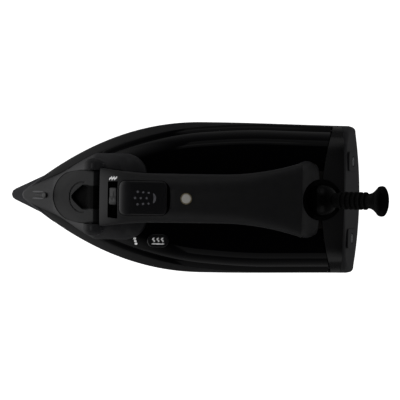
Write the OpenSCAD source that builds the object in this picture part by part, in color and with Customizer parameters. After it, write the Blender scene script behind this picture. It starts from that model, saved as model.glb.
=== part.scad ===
// Steam iron, laid flat on its sole plate. The nose points to -X, the heel to +X and +Z is up.
// The origin is on the ironing face, on the centre line, half way between the sole tip and the heel.

/* [Body] */
// Length of the body, sole tip to heel
body_l = 298; // [270:1:330]
// Width of the body
body_w = 128; // [116:1:140]
// How far the sole tip shows ahead of the skirt
tip_l = 12; // [9:1:15]
// Length over which the sides flare out from the nose
flare_l = 153; // [135:1:170]
// How fast the sides flare
flare_pow = 2.1; // [1.8:0.1:2.4]
// How far the heel edge bows out at the middle
heel_bow = 4; // [2:0.5:6]
// Plan radius of the heel corners
corner_r = 7; // [4:0.5:10]
// Lean of the heel face from the vertical, degrees
heel_tilt = 15.7; // [13:0.1:17]

/* [Levels] */
// Thickness of the sole plate
sole_t = 2.5; // [1.5:0.1:3.5]
// Level of the top of the sole casting
casting_z = 13; // [12:0.5:15]
// Level of the skirt's lower edge
skirt_z = 6; // [4:0.5:7]
// Level of the seam between skirt and tank
seam_z = 30; // [28:0.5:34]
// Level of the top of the water tank
tank_z = 68; // [64:1:72]
// Level of the underside of the handle
grip_z = 112; // [108:1:118]
// Highest level of the handle
handle_z = 148; // [142:1:154]
// Level of the cord swivel's centre
ball_z = 95; // [93:1:97]

/* [Handle] */
// Half width of the handle at its middle
handle_hw = 19.5; // [17:0.5:22]
// Extra half width of the handle at its rear end
handle_flare = 10.5; // [7:0.5:12]
// Length of the front pillar under the handle
pillar_l = 30; // [27:1:36]
// Half width of the front pillar
pillar_hw = 18; // [17:0.5:19]

/* [Walls and clearances] */
// Wall of the moulded covers
wall = 2.5; // [2:0.1:3]
// Gap between a moving piece and its opening
move_gap = 0.4; // [0.3:0.1:0.6]
// Gap between fixed pieces that meet
seat_gap = 0.15; // [0.1:0.05:0.3]
// Radial running clearance of a shaft in its hole
run_gap = 0.05; // [0.02:0.01:0.1]

/* [Controls] */
// Length of the spray button
button_l = 37.8; // [32:0.2:42]
// Width of the spray button
button_w = 26.8; // [22:0.2:29]
// Travel of the spray button
button_travel = 3; // [2:0.5:4]
// Width of the steam slider's knob
slider_w = 19; // [14:0.5:20]
// Half length of the steam slider's slot
slot_hl = 17.5; // [16:0.5:18]
// Place of the slider's knob in its slot, from the middle
slider_y = 2.7; // [0:0.1:5]
// Radius of the lamp lens
lamp_r = 4; // [3:0.1:5]
// Length of the self-clean button
clean_l = 18; // [15:0.5:20]
// Width of the self-clean button
clean_w = 11; // [9:0.5:12]
// Radius of the two pump bores
pump_r = 4.5; // [3.5:0.1:4.8]

/* [Cord swivel] */
// Radius of the swivel ball
ball_r = 13; // [12:0.1:13.5]
// Radius of the bore for the mains cord
cord_r = 3.75; // [3:0.05:4.5]
// Radius of the cord guard's neck
neck_r = 7.2; // [6:0.1:7.5]
// Length of the cord guard from the ball's centre
guard_l = 54; // [52:1:66]
// Angle of the cord guard above the horizontal
guard_tilt = 28; // [20:1:35]

/* [Steam system] */
// Radius of the heating element's tube
heater_r = 3.5; // [3:0.1:4]
// Distance of the heater's legs from the centre line
heater_y = 26; // [22:0.5:28]
// Radius of a steam vent
vent_r = 1.25; // [1:0.05:1.5]
// Radius of the filling hole in the tank
fill_r = 9; // [7:0.5:10]

/* [Hidden] */
$fn = 48;

// Stations along the body, measured from the nose or from the heel
nose_x = -body_l / 2;
heel_x = body_l / 2;
cover_x0 = nose_x + tip_l;
door_x0 = nose_x + 40;
door_x1 = nose_x + 78;
hinge_x = nose_x + 77;
cover_x1 = nose_x + 82;
handle_x0 = nose_x + 84.5;
slider_x = nose_x + 93.5;
button_x0 = nose_x + 98.5;
pump_x = nose_x + 102.5;
shoulder_x = nose_x + 101;
needle_x = nose_x + 91;
pillar_x0 = nose_x + 85.5;
pillar_x1 = pillar_x0 + pillar_l;
trigger_x = pillar_x1 + 12.5;
filler_x = nose_x + 61;
tank_x0 = nose_x + 45;
clean_x = nose_x + 128;
clean_y = -36;
lamp_x = nose_x + 151.3;
handle_x1 = heel_x - 54.5;
ball_x = heel_x - 37;
rear_x0 = heel_x - 39;
heel_x0 = heel_x - 18;
nose_hw = 3;
heel_taper = 1.5;
rear_z = 86;
door_hw = 21.6;
pump_y = 7.5;
side_n = 20;
seam_in = 7.5;
heel_datum_z = 20;

function clamp(v, low, high) = min(max(v, low), high);
function mix(a, b, t) = a + (b - a) * t;
function smooth(a, b, x) = let (t = clamp((x - a) / (b - a), 0, 1)) t * t * (3 - 2 * t);
function flat(lists) = [for (l = lists) for (e = l) e];
// Cosine or sine bent towards a rounded square, for superellipse sections
function bend(c, n) = sign(c) * pow(abs(c), 2 / n);

// Half width of the skirt's widest line at x
function skirt_half(x) =
    let (u = clamp((x - cover_x0) / flare_l, 0, 1))
    nose_hw + (body_w / 2 - nose_hw) * (1 - pow(1 - u, flare_pow))
        - heel_taper * smooth(heel_x - 120, heel_x, x);
function skirt_slope(x) = (skirt_half(x + 1) - skirt_half(x - 1)) / 2;
// Half width at x of the outline moved in by a distance
function half_in(x, inset) = max(0.6, skirt_half(x) - inset * sqrt(1 + pow(skirt_slope(x), 2)));
// Inset that runs from a front value to a rear value along the flare
function run_in(x, front, rear) = mix(front, rear, smooth(nose_x + 99, heel_x - 79, x));
// Inset of the seam between the skirt and what stands on it: small at the nose, wide on the flare
function seam_run(x) =
    run_in(x, mix(1, seam_in, smooth(nose_x + tip_l, nose_x + tip_l + 40, x)), 1);
function heel_in(z) = max(0, (z - heel_datum_z) * tan(heel_tilt));

// Plan outline, counter-clockwise from the nose, inset by the function inset(x)
function plan(x0, x1, inset, bow = heel_bow, r = corner_r) =
    let (xc = x1 - bow - r, hw = half_in(xc, inset(xc)), yc = hw - r)
    let (side = [for (k = [0 : side_n])
        let (x = mix(x0, xc, pow(k / side_n, 1.3))) [x, -half_in(x, inset(x))]])
    let (corner = [for (a = [-68, -45, -22]) [xc + r * cos(a), -yc + r * sin(a)]])
    let (rear = [for (t = [-1 : 0.4 : 1.01]) [x1 - bow * t * t, yc * t]])
    concat(side, corner, rear, [for (k = [2 : -1 : 0]) [corner[k][0], -corner[k][1]]],
        [for (k = [side_n : -1 : 0]) [side[k][0], -side[k][1]]]);
function at_z(outline, z) = [for (p = outline) [p[0], p[1], z]];
function middle(ring) = [for (k = [0 : 2]) let (v = [for (p = ring) p[k]]) (min(v) + max(v)) / 2];
// Triangles of the band between ring a and ring b of n points each
function band(a, b, n) = [for (j = [0 : n - 1]) let (k = (j + 1) % n)
    each [[a * n + j, b * n + j, b * n + k], [a * n + j, b * n + k, a * n + k]]];
function cap(ring, centre, n, up) = [for (j = [0 : n - 1]) let (k = (j + 1) % n)
    up ? [ring * n + k, ring * n + j, centre] : [ring * n + j, ring * n + k, centre]];

// Solid between stacked rings; the first and the last are closed with a cap
module stack(rings) {
    n = len(rings[0]);
    m = len(rings);
    points = concat(flat(rings), [middle(rings[0]), middle(rings[m - 1])]);
    faces = concat([for (i = [0 : m - 2]) each band(i, i + 1, n)], cap(0, n * m, n, false),
        cap(m - 1, n * m + 1, n, true));
    polyhedron(points, faces, convexity = 4);
}
// Open sleeve: outer rings upwards, then inner rings downwards, closed back onto the first
module sleeve(rings) {
    n = len(rings[0]);
    m = len(rings);
    polyhedron(flat(rings), [for (i = [0 : m - 1]) each band(i, (i + 1) % m, n)], convexity = 6);
}
// Cup upside down: outer rings upwards to a cap, inner rings upwards to an inner cap
module bell(outer, inner) {
    n = len(outer[0]);
    m = len(outer);
    q = len(inner);
    points = concat(flat(outer), flat(inner), [middle(outer[m - 1]), middle(inner[q - 1])]);
    faces = concat([for (i = [0 : m - 2]) each band(i, i + 1, n)],
        cap(m - 1, n * (m + q), n, true),
        [for (i = [0 : q - 2]) each band(m + i + 1, m + i, n)],
        cap(m + q - 1, n * (m + q) + 1, n, false), band(m, 0, n));
    polyhedron(points, faces, convexity = 6);
}
// Thick sheet between two grids of the same size, rows along +X and columns over the arch
module sheet(outer, inner) {
    m = len(outer);
    n = len(outer[0]);
    s = m * n;
    function quad(a, b, c, d) = [[a, b, c], [a, c, d]];
    faces = concat(
        [for (i = [0 : m - 2]) for (j = [0 : n - 2])
            each quad(i * n + j, i * n + j + 1, (i + 1) * n + j + 1, (i + 1) * n + j)],
        [for (i = [0 : m - 2]) for (j = [0 : n - 2])
            each quad(s + i * n + j, s + (i + 1) * n + j, s + (i + 1) * n + j + 1, s + i * n + j + 1)],
        [for (i = [0 : m - 2]) each quad(i * n, (i + 1) * n, s + (i + 1) * n, s + i * n)],
        [for (i = [0 : m - 2]) let (a = i * n + n - 1)
            each quad(a, s + a, s + a + n, a + n)],
        [for (j = [0 : n - 2]) each quad(j, s + j, s + j + 1, j + 1)],
        [for (j = [0 : n - 2]) let (a = (m - 1) * n + j)
            each quad(a, a + 1, s + a + 1, s + a)]);
    polyhedron(concat(flat(outer), flat(inner)), [for (f = faces) [f[0], f[2], f[1]]],
        convexity = 8);
}
// Rods that run past each other at the corners of a list of points
module pipe(points, r) {
    last = len(points) - 2;
    for (i = [0 : last]) {
        step = points[i + 1] - points[i];
        flat_run = norm([step[0], step[1]]);
        lead = i > 0 ? r * 0.6 : 0;
        tail = i < last ? r * 0.6 : 0;
        translate(points[i])
            rotate([0, atan2(flat_run, step[2]), atan2(step[1], step[0])])
                translate([0, 0, -lead]) cylinder(r = r, h = norm(step) + lead + tail);
    }
}
// Coil spring on a vertical axis
module coil(r, wire, turns, height) {
    steps = 12;
    sides = 6;
    rings = [for (i = [0 : turns * steps])
        let (a = 360 * i / steps, z = wire + (height - 2 * wire) * i / (turns * steps))
        [for (j = [0 : sides - 1]) let (b = 360 * j / sides)
            [(r + wire * cos(b)) * cos(a), (r + wire * cos(b)) * sin(a), z + wire * sin(b)]]];
    n = sides;
    m = len(rings);
    faces = concat([for (i = [0 : m - 2]) each band(i + 1, i, n)], cap(0, n * m, n, true),
        cap(m - 1, n * m + 1, n, false));
    polyhedron(concat(flat(rings), [middle(rings[0]), middle(rings[m - 1])]), faces,
        convexity = 10);
}
// Pan-head screw, head up, its seat at the origin
module screw(r, l, head_r, head_h) {
    translate([0, 0, -l]) cylinder(r = r, h = l);
    difference() {
        cylinder(r = head_r, h = head_h);
        for (a = [0, 90]) rotate(a)
            translate([-head_r * 0.6, -head_r * 0.12, head_h * 0.5])
                cube([head_r * 1.2, head_r * 0.24, head_h]);
    }
}
module rounded_bar(l, w, r) {
    translate([r, r - w / 2]) offset(r = r) square([l - 2 * r, w - 2 * r]);
}
module stadium(l, w) {
    union() {
        square([l - w, w], center = true);
        for (s = [-1, 1]) translate([s * (l - w) / 2, 0]) circle(d = w);
    }
}

// ---- Sole, heater and steam chamber ----
sole_in = 3;
sole_lead = 40;
tip_r = 5;
tip_angle = 25.7;
tip_run = tip_r * (1 - sin(tip_angle));
function sole_half(x) =
    let (d = x - nose_x)
    let (tip = d < tip_run ? sqrt(max(0, tip_r * tip_r - pow(tip_r - d, 2)))
        : tip_r * cos(tip_angle) + (d - tip_run) * tan(tip_angle))
    let (skirt = half_in(x, sole_in))
    x < cover_x0 + sole_lead ? tip : min(tip, skirt);
function sole_outline(grow = 0) =
    let (x1 = heel_x - sole_in, xc = x1 - heel_bow - corner_r, yc = sole_half(xc) - corner_r)
    let (side = [for (k = [1 : 28]) let (x = nose_x + (xc - nose_x) * pow(k / 28, 1.7))
        [x, -sole_half(x)]])
    let (corner = [for (a = [-68, -45, -22]) [xc + corner_r * cos(a), -yc + corner_r * sin(a)]])
    let (rear = [for (t = [-1 : 0.4 : 1.01]) [x1 - heel_bow * t * t, yc * t]])
    concat([[nose_x, 0]], side, corner, rear,
        [for (k = [2 : -1 : 0]) [corner[k][0], -corner[k][1]]],
        [for (k = [27 : -1 : 0]) [side[k][0], -side[k][1]]]);
casting_in = 5;
casting_x0 = cover_x0 + 9;
heater_x0 = nose_x + 88;
heater_x1 = heel_x - 46;
heater_z = 7.5;
chamber_hw = heater_y - heater_r - 5;
chamber_x0 = heater_x0 - 6;
chamber_x1 = heel_x - 90;
// Steam vents: a ring of pairs along each edge, and a group at the tip
function vent_points() = concat(
    [for (k = [0 : 10], s = [-1, 1])
        let (x = nose_x + 46 + 15 * k) [x, s * (sole_half(x) - 9)]],
    [for (k = [0 : 6]) [nose_x + 40 + 14 * k, 0]]);
module casting_area(inset) {
    polygon(plan(casting_x0 + inset, heel_x - 7 - inset, function(x) casting_in + inset));
}
module chamber_area(grow) {
    translate([chamber_x0 - grow, 0])
        rounded_bar(chamber_x1 - chamber_x0 + 2 * grow, 2 * (chamber_hw + grow), 6);
}
module heater_path(r) {
    translate([heater_x0, 0, heater_z]) rotate([0, 0, 90])
        rotate_extrude(angle = 180) translate([heater_y, 0]) circle(r = r);
    for (s = [-1, 1]) {
        translate([heater_x0, s * heater_y, heater_z]) rotate([0, 90, 0])
            cylinder(r = r, h = heater_x1 - heater_x0);
        translate([heater_x1, s * heater_y, heater_z]) sphere(r = r);
        translate([heater_x1, s * heater_y, heater_z]) cylinder(r = r, h = 13);
    }
}
screw_spots = [for (x = [chamber_x0 + 2, (chamber_x0 + chamber_x1) / 2, chamber_x1 - 2],
    s = [-1, 1]) [x, s * (chamber_hw + 3.2)]];
module soleplate() {
    color("#5a5a5e") difference() {
        linear_extrude(sole_t) polygon(sole_outline());
        for (p = vent_points())
            translate([p[0], p[1], -1]) cylinder(r = vent_r, h = sole_t + 2);
    }
}
module sole_casting() {
    color("#b8b8ba") difference() {
        translate([0, 0, sole_t]) linear_extrude(casting_z - sole_t) casting_area(0);
        heater_path(heater_r + run_gap);
        translate([0, 0, casting_z - 5]) linear_extrude(10) chamber_area(0);
        for (p = screw_spots)
            translate([p[0], p[1], casting_z - 6]) cylinder(r = 1.3, h = 10);
    }
}
module heating_element() {
    color("#8a7f74") heater_path(heater_r);
}
gasket_t = 0.8;
cover_t = 1.5;
module chamber_gasket() {
    color("#c05a2a") translate([0, 0, casting_z]) linear_extrude(gasket_t) difference() {
        chamber_area(5.6);
        chamber_area(0.4);
        for (p = screw_spots) translate(p) circle(r = 1.7);
    }
}
module chamber_cover() {
    color("#c9cacc") translate([0, 0, casting_z + gasket_t]) difference() {
        linear_extrude(cover_t) chamber_area(6);
        for (p = screw_spots) translate([p[0], p[1], -1]) cylinder(r = 1.7, h = 5);
        translate([needle_x, 0, -1]) cylinder(r = 3.4, h = 5);
        translate([clean_x, 0, -1]) cylinder(r = 2.4, h = 5);
    }
}
module cover_screws() {
    color("#d0d0d0") for (p = screw_spots)
        translate([p[0], p[1], casting_z + gasket_t + cover_t + 0.02]) screw(1.25, 6, 2.6, 1.6);
}
thermostat_x = chamber_x1 + 24;
module thermostat() {
    color("#d9d2c4") translate([thermostat_x, 0, casting_z + 0.02]) {
        cylinder(r = 9, h = 5);
        translate([0, 0, 5]) cylinder(r = 7, h = 2.6);
        for (s = [-1, 1]) translate([-1.5, s * 9 - 3, 1.5]) cube([3, 6, 1.2]);
    }
}
module thermal_fuse() {
    color("#efe7da") translate([thermostat_x + 22, -9, casting_z + 2.6])
        rotate([-90, 0, 0]) union() {
            cylinder(r = 2.4, h = 18);
            translate([0, 0, -5]) cylinder(r = 0.6, h = 28);
        }
}

// ---- Skirt and tray ----
skirt_wide_z = 16;
skirt_lip_in = 0.8;
module skirt() {
    low = function(x) skirt_lip_in;
    wide = function(x) 0;
    high = function(x) seam_run(x);
    low_i = function(x) skirt_lip_in + wall;
    wide_i = function(x) wall;
    high_i = function(x) seam_run(x) + wall;
    inner_x0 = cover_x0 + 4;
    color("#2a2a2c") sleeve([
        at_z(plan(cover_x0 + 1, heel_x - skirt_lip_in, low), skirt_z),
        at_z(plan(cover_x0, heel_x, wide), skirt_wide_z),
        at_z(plan(cover_x0, heel_x, wide), heel_datum_z),
        at_z(plan(cover_x0 + 1, heel_x - heel_in(seam_z), high), seam_z),
        at_z(plan(inner_x0 + 6, heel_x - heel_in(seam_z) - wall, high_i), seam_z),
        at_z(plan(inner_x0, heel_x - wall, wide_i), heel_datum_z),
        at_z(plan(inner_x0, heel_x - wall, wide_i), skirt_wide_z),
        at_z(plan(inner_x0, heel_x - skirt_lip_in - wall, low_i), skirt_z)]);
}
tray_z = 22;
tray_t = 2.5;
tray_spots = [[nose_x + 50, 0], [heel_x - 30, 34], [heel_x - 30, -34]];
module base_tray() {
    color("#3a3230") difference() {
        translate([0, 0, tray_z]) linear_extrude(tray_t)
            polygon(plan(cover_x0 + 16, heel_x - 7, function(x) run_in(x, 10, 5)));
        for (p = tray_spots) translate([p[0], p[1], 0]) cylinder(r = 2.2, h = seam_z);
        translate([needle_x, 0, 0]) cylinder(r = 6.5, h = seam_z);
        translate([clean_x, clean_y, 0]) cylinder(r = 5.5, h = seam_z);
        translate([heel_x - 62, -35, 0]) cube([30, 18, seam_z]);
    }
}
module tray_screws() {
    color("#d0d0d0") for (p = tray_spots)
        translate([p[0], p[1], tray_z + tray_t + 0.05])
            screw(1.9, tray_z + tray_t - casting_z - 0.1, 3.8, 2.4);
}

// ---- Water tank ----
tank_base = seam_z + seat_gap;
tank_x1 = rear_x0 - seat_gap;
nose_stand = 16;
// Tank outline: behind the nose cover at the front, along the skirt's seam further back
function tank_in(x, side, extra) =
    mix(nose_stand + extra, run_in(x, side + seam_in, side + 1), smooth(nose_x + 70, nose_x + 81, x));
function tank_ring(z, side, extra, w) =
    at_z(plan(tank_x0 + w + extra, tank_x1 - w, function(x) tank_in(x, side, extra) + w, 0, 3), z);
function tank_rings(w, lid) = [
    tank_ring(tank_base, 0.3, 0, w), tank_ring(seam_z + 15, 1, 0, w),
    tank_ring(tank_z - 14, 4, 1, w), tank_ring(tank_z - 6, 9, 2, w),
    tank_ring(tank_z - 2 - lid * 0.6, 15, 3.5, w), tank_ring(tank_z - lid, 22, 5, w)];
module tank_shell() {
    color("#141416", 0.85) difference() {
        bell(tank_rings(0, 0), tank_rings(wall, wall));
        translate([filler_x, 0, tank_z - 10]) cylinder(r = fill_r, h = 20);
        translate([needle_x, 0, tank_z - 10]) cylinder(r = 3.5, h = 20);
        translate([clean_x, clean_y, tank_z - 12]) linear_extrude(30)
            stadium(clean_l + 2 * move_gap, clean_w + 2 * move_gap);
    }
}
floor_t = 2.5;
module tank_floor() {
    color("#1b1b1d") difference() {
        translate([0, 0, tank_base]) linear_extrude(floor_t)
            polygon([for (p = tank_ring(0, 0.7, 0, wall + 0.3)) [p[0], p[1]]]);
        translate([needle_x, 0, 0]) cylinder(r = 5, h = 60);
        translate([clean_x, clean_y, 0]) cylinder(r = 4, h = 60);
    }
}
needle_r = 1.6;
module valve_seat() {
    color("#c9a24a") translate([needle_x, 0, 0]) difference() {
        union() {
            translate([0, 0, casting_z + gasket_t]) cylinder(r = 3.2, h = tank_base - casting_z);
            translate([0, 0, tank_base]) cylinder(r = 4.95, h = 6);
        }
        translate([0, 0, casting_z]) cylinder(r = 1.2, h = 40);
        translate([0, 0, tank_base + 1]) cylinder(r1 = 1.2, r2 = 3.6, h = 5.01);
    }
}
needle_z0 = tank_base + 3.2;
needle_top = handle_z - 28;
module dosing_needle() {
    color("#e2e2e2") translate([needle_x, 0, 0]) {
        translate([0, 0, needle_z0]) cylinder(r1 = 0.6, r2 = needle_r, h = 5);
        translate([0, 0, needle_z0 + 5]) cylinder(r = needle_r, h = needle_top - needle_z0 - 5);
        translate([0, 0, needle_top]) cylinder(r = 3, h = 1.6);
    }
}
module needle_seal() {
    color("#b03020") translate([needle_x, 0, tank_z - wall]) difference() {
        cylinder(r = 3.45, h = wall);
        translate([0, 0, -1]) cylinder(r = needle_r + run_gap, h = 10);
    }
}
clean_z = tank_z + 2;
clean_travel = 2.5;
rod_r = 1.5;
module clean_button() {
    color("#0c0c0e") translate([clean_x, clean_y, clean_z - 7]) union() {
        linear_extrude(6) stadium(clean_l, clean_w);
        translate([0, 0, 6]) linear_extrude(1) stadium(clean_l - 1.2, clean_w - 1.2);
    }
}
module clean_rod() {
    color("#d8d8d8") translate([clean_x, clean_y, 0]) {
        translate([0, 0, tank_base + 3.5]) cylinder(r = rod_r, h = clean_z - 7 - tank_base - 3.5);
        translate([0, 0, tank_base + 10]) cylinder(r = 3.2, h = 1.2);
    }
}
module clean_spring() {
    color("#c0c0c4") translate([clean_x, clean_y, tank_base + floor_t + 1.5])
        coil(2.4, 0.35, 4, 6);
}
module clean_seat() {
    color("#b03020") translate([clean_x, clean_y, 0]) difference() {
        union() {
            translate([0, 0, tank_base - 3]) cylinder(r = 3.9, h = 3 + floor_t);
            translate([0, 0, tank_base + floor_t]) cylinder(r = 3.9, h = 1.4);
        }
        translate([0, 0, 0]) cylinder(r = rod_r + run_gap, h = 60);
    }
}

// ---- Nose cover, filling door and spray ----
shoulder_hw = 35;
shoulder_z = tank_z + 16;
function cover_n(x) = mix(2.4, 4, smooth(cover_x0 + 17, cover_x0 + 57, x));
cover_rows = [0, 4, 9, 15, 22, 30, 39, 48, 57, 63, 66, 68, 70, 76, 82, 86, 88.5];
function cover_top(x) =
    let (d = x - cover_x0)
    let (rise = d < 28 ? seam_z + 2 + 0.95 * d : seam_z + 2 + 0.95 * 28 + 1.72 * (d - 28))
    mix(rise, shoulder_z, smooth(cover_x1 - 4, cover_x1 - 1, x));
function cover_base(x) = mix(seam_z + seat_gap, tank_z + 0.3, smooth(cover_x1 - 11, cover_x1 - 5, x));
function cover_half(x) =
    let (low = half_in(x, mix(1, seam_in + 0.4, smooth(cover_x0, cover_x0 + 40, x))))
    let (end = clamp((x - shoulder_x + 16) / 16.5, 0, 1))
    min(low, shoulder_hw) * sqrt(1 - 0.86 * end * end);
function cover_slope(x) = x > cover_x1 - 5 ? 1 : x < cover_x0 + 28 ? 1.38 : 1.98;
function cover_grid(w) = [for (d = cover_rows)
    let (x = cover_x0 + d, hw = max(cover_half(x) - w, 0.5), base = cover_base(x))
    let (top = max(cover_top(x) - w * cover_slope(x), base + 0.3))
    [for (a = [0 : 7.5 : 180])
        [x, hw * bend(cos(a), cover_n(x)), base + (top - base) * bend(sin(a), cover_n(x))]]];
module cover_sheet() {
    sheet(cover_grid(0), cover_grid(wall));
}
// Plan of the filling door: a half ellipse at the front, straight sides behind
module door_area(gap, rear) {
    nose_l = 21;
    polygon(concat([for (a = [-90 : 9 : 90])
        [door_x0 + nose_l - (nose_l - gap) * cos(a), (door_hw - gap) * sin(a)]],
        [[rear, door_hw - gap], [rear, -(door_hw - gap)]]));
}
hinge_z = cover_top(hinge_x) - 4.5;
pin_r = 1.2;
lug_y = 27;
lug_r = 4.6;
module nose_cover() {
    color("#36363a") difference() {
        union() {
            difference() {
                cover_sheet();
                translate([0, 0, tank_z - 20]) linear_extrude(120) door_area(0, cover_x1 + 4);
            }
            for (s = [-1, 1]) translate([hinge_x, s * (door_hw + 3.6) - 3, hinge_z])
                rotate([-90, 0, 0]) cylinder(r = lug_r, h = 6);
        }
        translate([pillar_x0 - move_gap, -pillar_hw - seat_gap, tank_z])
            cube([40, 2 * (pillar_hw + seat_gap), 100]);
        translate([cover_x1 - 1, -handle_half(handle_x0) - 1, shoulder_z - 6])
            cube([40, 2 * handle_half(handle_x0) + 2, 100]);
        translate([hinge_x, -60, hinge_z]) rotate([-90, 0, 0]) cylinder(r = pin_r + 0.02, h = 120);
        translate([cover_x0 + 13, 0, cover_top(cover_x0 + 13) - 4]) rotate([0, -62, 0])
            translate([0, 0, -6]) cylinder(r = 3.2, h = 26);
    }
}
module spray_nozzle() {
    color("#202022") translate([cover_x0 + 13, 0, cover_top(cover_x0 + 13) - 4])
        rotate([0, -62, 0]) difference() {
            union() {
                translate([0, 0, -4]) cylinder(r = 2.2, h = 4);
                cylinder(r = 3, h = 6.2);
            }
            translate([0, 0, -5]) cylinder(r = 0.5, h = 20);
            translate([0, 0, 4.7]) cylinder(r1 = 0.5, r2 = 1.6, h = 1.6);
        }
}
hose_r = 1.6;
module spray_hose() {
    z0 = cover_top(cover_x0 + 13) - 4;
    color("#c8c8c0") pipe([[cover_x0 + 18.5, 0, z0 - 3.2], [tank_x0 - 5, 4.6, tank_z - 20],
        [tank_x0 + 3, 12.2, tank_z - 9.2], [tank_x0 + 12, 15, tank_z + 3.2],
        [filler_x + 4, 17, tank_z + 4.4], [pillar_x0 - 2, 12.5, tank_z + 4.4],
        [pump_x, pump_y, tank_z + 6]], hose_r);
}
module fill_door() {
    color("#303034") difference() {
        union() {
            intersection() {
                cover_sheet();
                translate([0, 0, tank_z - 20]) linear_extrude(120) door_area(move_gap, door_x1);
            }
            for (s = [-1, 1]) translate([hinge_x, s * 16 - 3, hinge_z]) rotate([-90, 0, 0])
                cylinder(r = 2.4, h = 6);
        }
        translate([hinge_x, -60, hinge_z]) rotate([-90, 0, 0]) cylinder(r = pin_r + run_gap, h = 120);
    }
}
module door_pin() {
    color("#c8c8cc") translate([hinge_x, -lug_y, hinge_z]) rotate([-90, 0, 0])
        cylinder(r = pin_r, h = 2 * lug_y);
}
// Slanted funnel from under the door down into the tank
module filler_funnel() {
    rim = 13;
    color("#1b1b1d") translate([filler_x, 0, tank_z - wall]) difference() {
        rotate_extrude() polygon([[fill_r - 2, 0], [fill_r - 0.1, 0], [fill_r - 0.1, wall + 0.1],
            [rim, wall + 12], [rim, 40], [rim - 2, 40], [rim - 2, wall + 12.6],
            [fill_r - 2, wall + 0.6]]);
        translate([0, 0, 16.5]) rotate([0, -60, 0]) translate([-100, -50, 0]) cube([200, 100, 100]);
    }
}

// ---- Handle ----
handle_n = 2.6;
handle_rows = [for (k = [0 : 18]) k / 18];
function handle_half(x) = handle_hw
    + handle_flare * pow(max(0, x - (handle_x1 - 64.5)) / 64.5, 2)
    + 3 * pow(max(0, handle_x0 + 44.5 - x) / 40, 2);
function handle_top_z(x) = handle_z
    - 23 * pow(max(0, x - (handle_x1 - 109.5)) / 109.5, 1.7)
    - 14 * pow(max(0, handle_x0 + 24.5 - x) / 24.5, 2);
function handle_low_z(x) = grip_z - 5 * smooth(handle_x1 - 35, handle_x1, x);
function handle_mid_z(x) = (handle_top_z(x) + handle_low_z(x)) / 2;
function handle_arc(x, a, w) =
    let (hh = (handle_top_z(x) - handle_low_z(x)) / 2 - w)
    [x, (handle_half(x) - w) * bend(cos(a), handle_n),
        handle_mid_z(x) + hh * bend(sin(a), handle_n)];
function handle_grid(x0, x1, a0, w) = [for (t = handle_rows)
    let (x = mix(x0, x1, t)) [for (a = [a0 : 9 : a0 + 180]) handle_arc(x, a, w)]];
module handle_solid(x0, x1, grow) {
    stack_x([for (t = handle_rows) let (x = mix(x0, x1, t))
        [for (a = [0 : 12 : 348]) handle_arc(x, a, -grow)]]);
}
// Solid between rings that follow one another along +X
module stack_x(rings) {
    n = len(rings[0]);
    m = len(rings);
    points = concat(flat(rings), [middle(rings[0]), middle(rings[m - 1])]);
    polyhedron(points, concat([for (i = [0 : m - 2]) each band(i, i + 1, n)],
        cap(0, n * m, n, false), cap(m - 1, n * m + 1, n, true)), convexity = 4);
}
slider_l = 8;
cam_slope = 0.2;
cam_y0 = -7.5;
cam_y1 = 12.9;
cam_z = needle_top + 2.4;
track_z = handle_top_z(slider_x - 5) - 7;
module slider_slot(gap) {
    translate([slider_x - slider_l / 2 - gap, -slot_hl - gap, track_z])
        cube([slider_l + 2 * gap, 2 * (slot_hl + gap), 40]);
}
module button_area(gap) {
    translate([button_x0 - gap, 0]) rounded_bar(button_l + 2 * gap, button_w + 2 * gap, 5 + gap);
}
// Wall that closes the front end of a half shell of the handle
module handle_end(a0) {
    stack_x([for (d = [0.2, wall]) [for (a = [a0 : 9 : a0 + 180])
        handle_arc(handle_x0 + d, a, wall * 0.4)]]);
}
module handle_top() {
    color("#1c1c1e") difference() {
        union() {
            sheet(handle_grid(handle_x0, handle_x1, 0, 0), handle_grid(handle_x0, handle_x1, 0, wall));
            handle_end(0);
        }
        slider_slot(0);
        translate([0, 0, handle_z - 15]) linear_extrude(40) button_area(move_gap);
        translate([lamp_x, 0, handle_z - 15]) cylinder(r = lamp_r + 0.1, h = 40);
    }
}
trigger_l = 18;
trigger_w = 14;
trigger_travel = 3;
trigger_h = 4.8;
trigger_z = grip_z - trigger_travel - 0.6 - trigger_h;
module handle_grip() {
    color("#161618") difference() {
        union() {
            sheet(handle_grid(handle_x0, handle_x1, 180, 0), handle_grid(handle_x0, handle_x1, 180, wall));
            handle_end(180);
        }
        for (s = [-1, 1]) translate([pump_x, s * pump_y, grip_z - 10]) cylinder(r = 3.6, h = 20);
        translate([needle_x, 0, grip_z - 10]) cylinder(r = 3.4, h = 20);
        translate([trigger_x, 0, grip_z - 10]) linear_extrude(20)
            square([trigger_l - 6 + 2 * move_gap, trigger_w - 6 + 2 * move_gap], center = true);
    }
}
pillar_z = tank_z + 0.3;
module front_pillar() {
    color("#2c2c2f") difference() {
        translate([pillar_x0, 0, pillar_z]) linear_extrude(grip_z + 4 - pillar_z) difference() {
            rounded_bar(pillar_l, 2 * pillar_hw, 6);
            translate([wall, 0]) rounded_bar(pillar_l - 2 * wall, 2 * (pillar_hw - wall), 4);
        }
        handle_solid(handle_x0 - 5, handle_x1, seat_gap);
        translate([pillar_x0 - 5, pump_y, pillar_z]) cube([10, 9, 8]);
    }
}
button_top = handle_z + 1.4;
button_flange = handle_z - 9;
module spray_button() {
    color("#121214") {
        translate([0, 0, button_flange]) linear_extrude(button_top - 1 - button_flange) button_area(0);
        translate([0, 0, button_top - 1]) linear_extrude(1) button_area(-0.9);
        translate([pump_x, pump_y, button_flange - 3]) cylinder(r = 3, h = 3.01);
    }
}
pump_z0 = tank_z + 9;
pump_h = 24;
pump_wall = 1.6;
pump_cap = 1.5;
piston_rod_r = 1.8;
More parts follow.
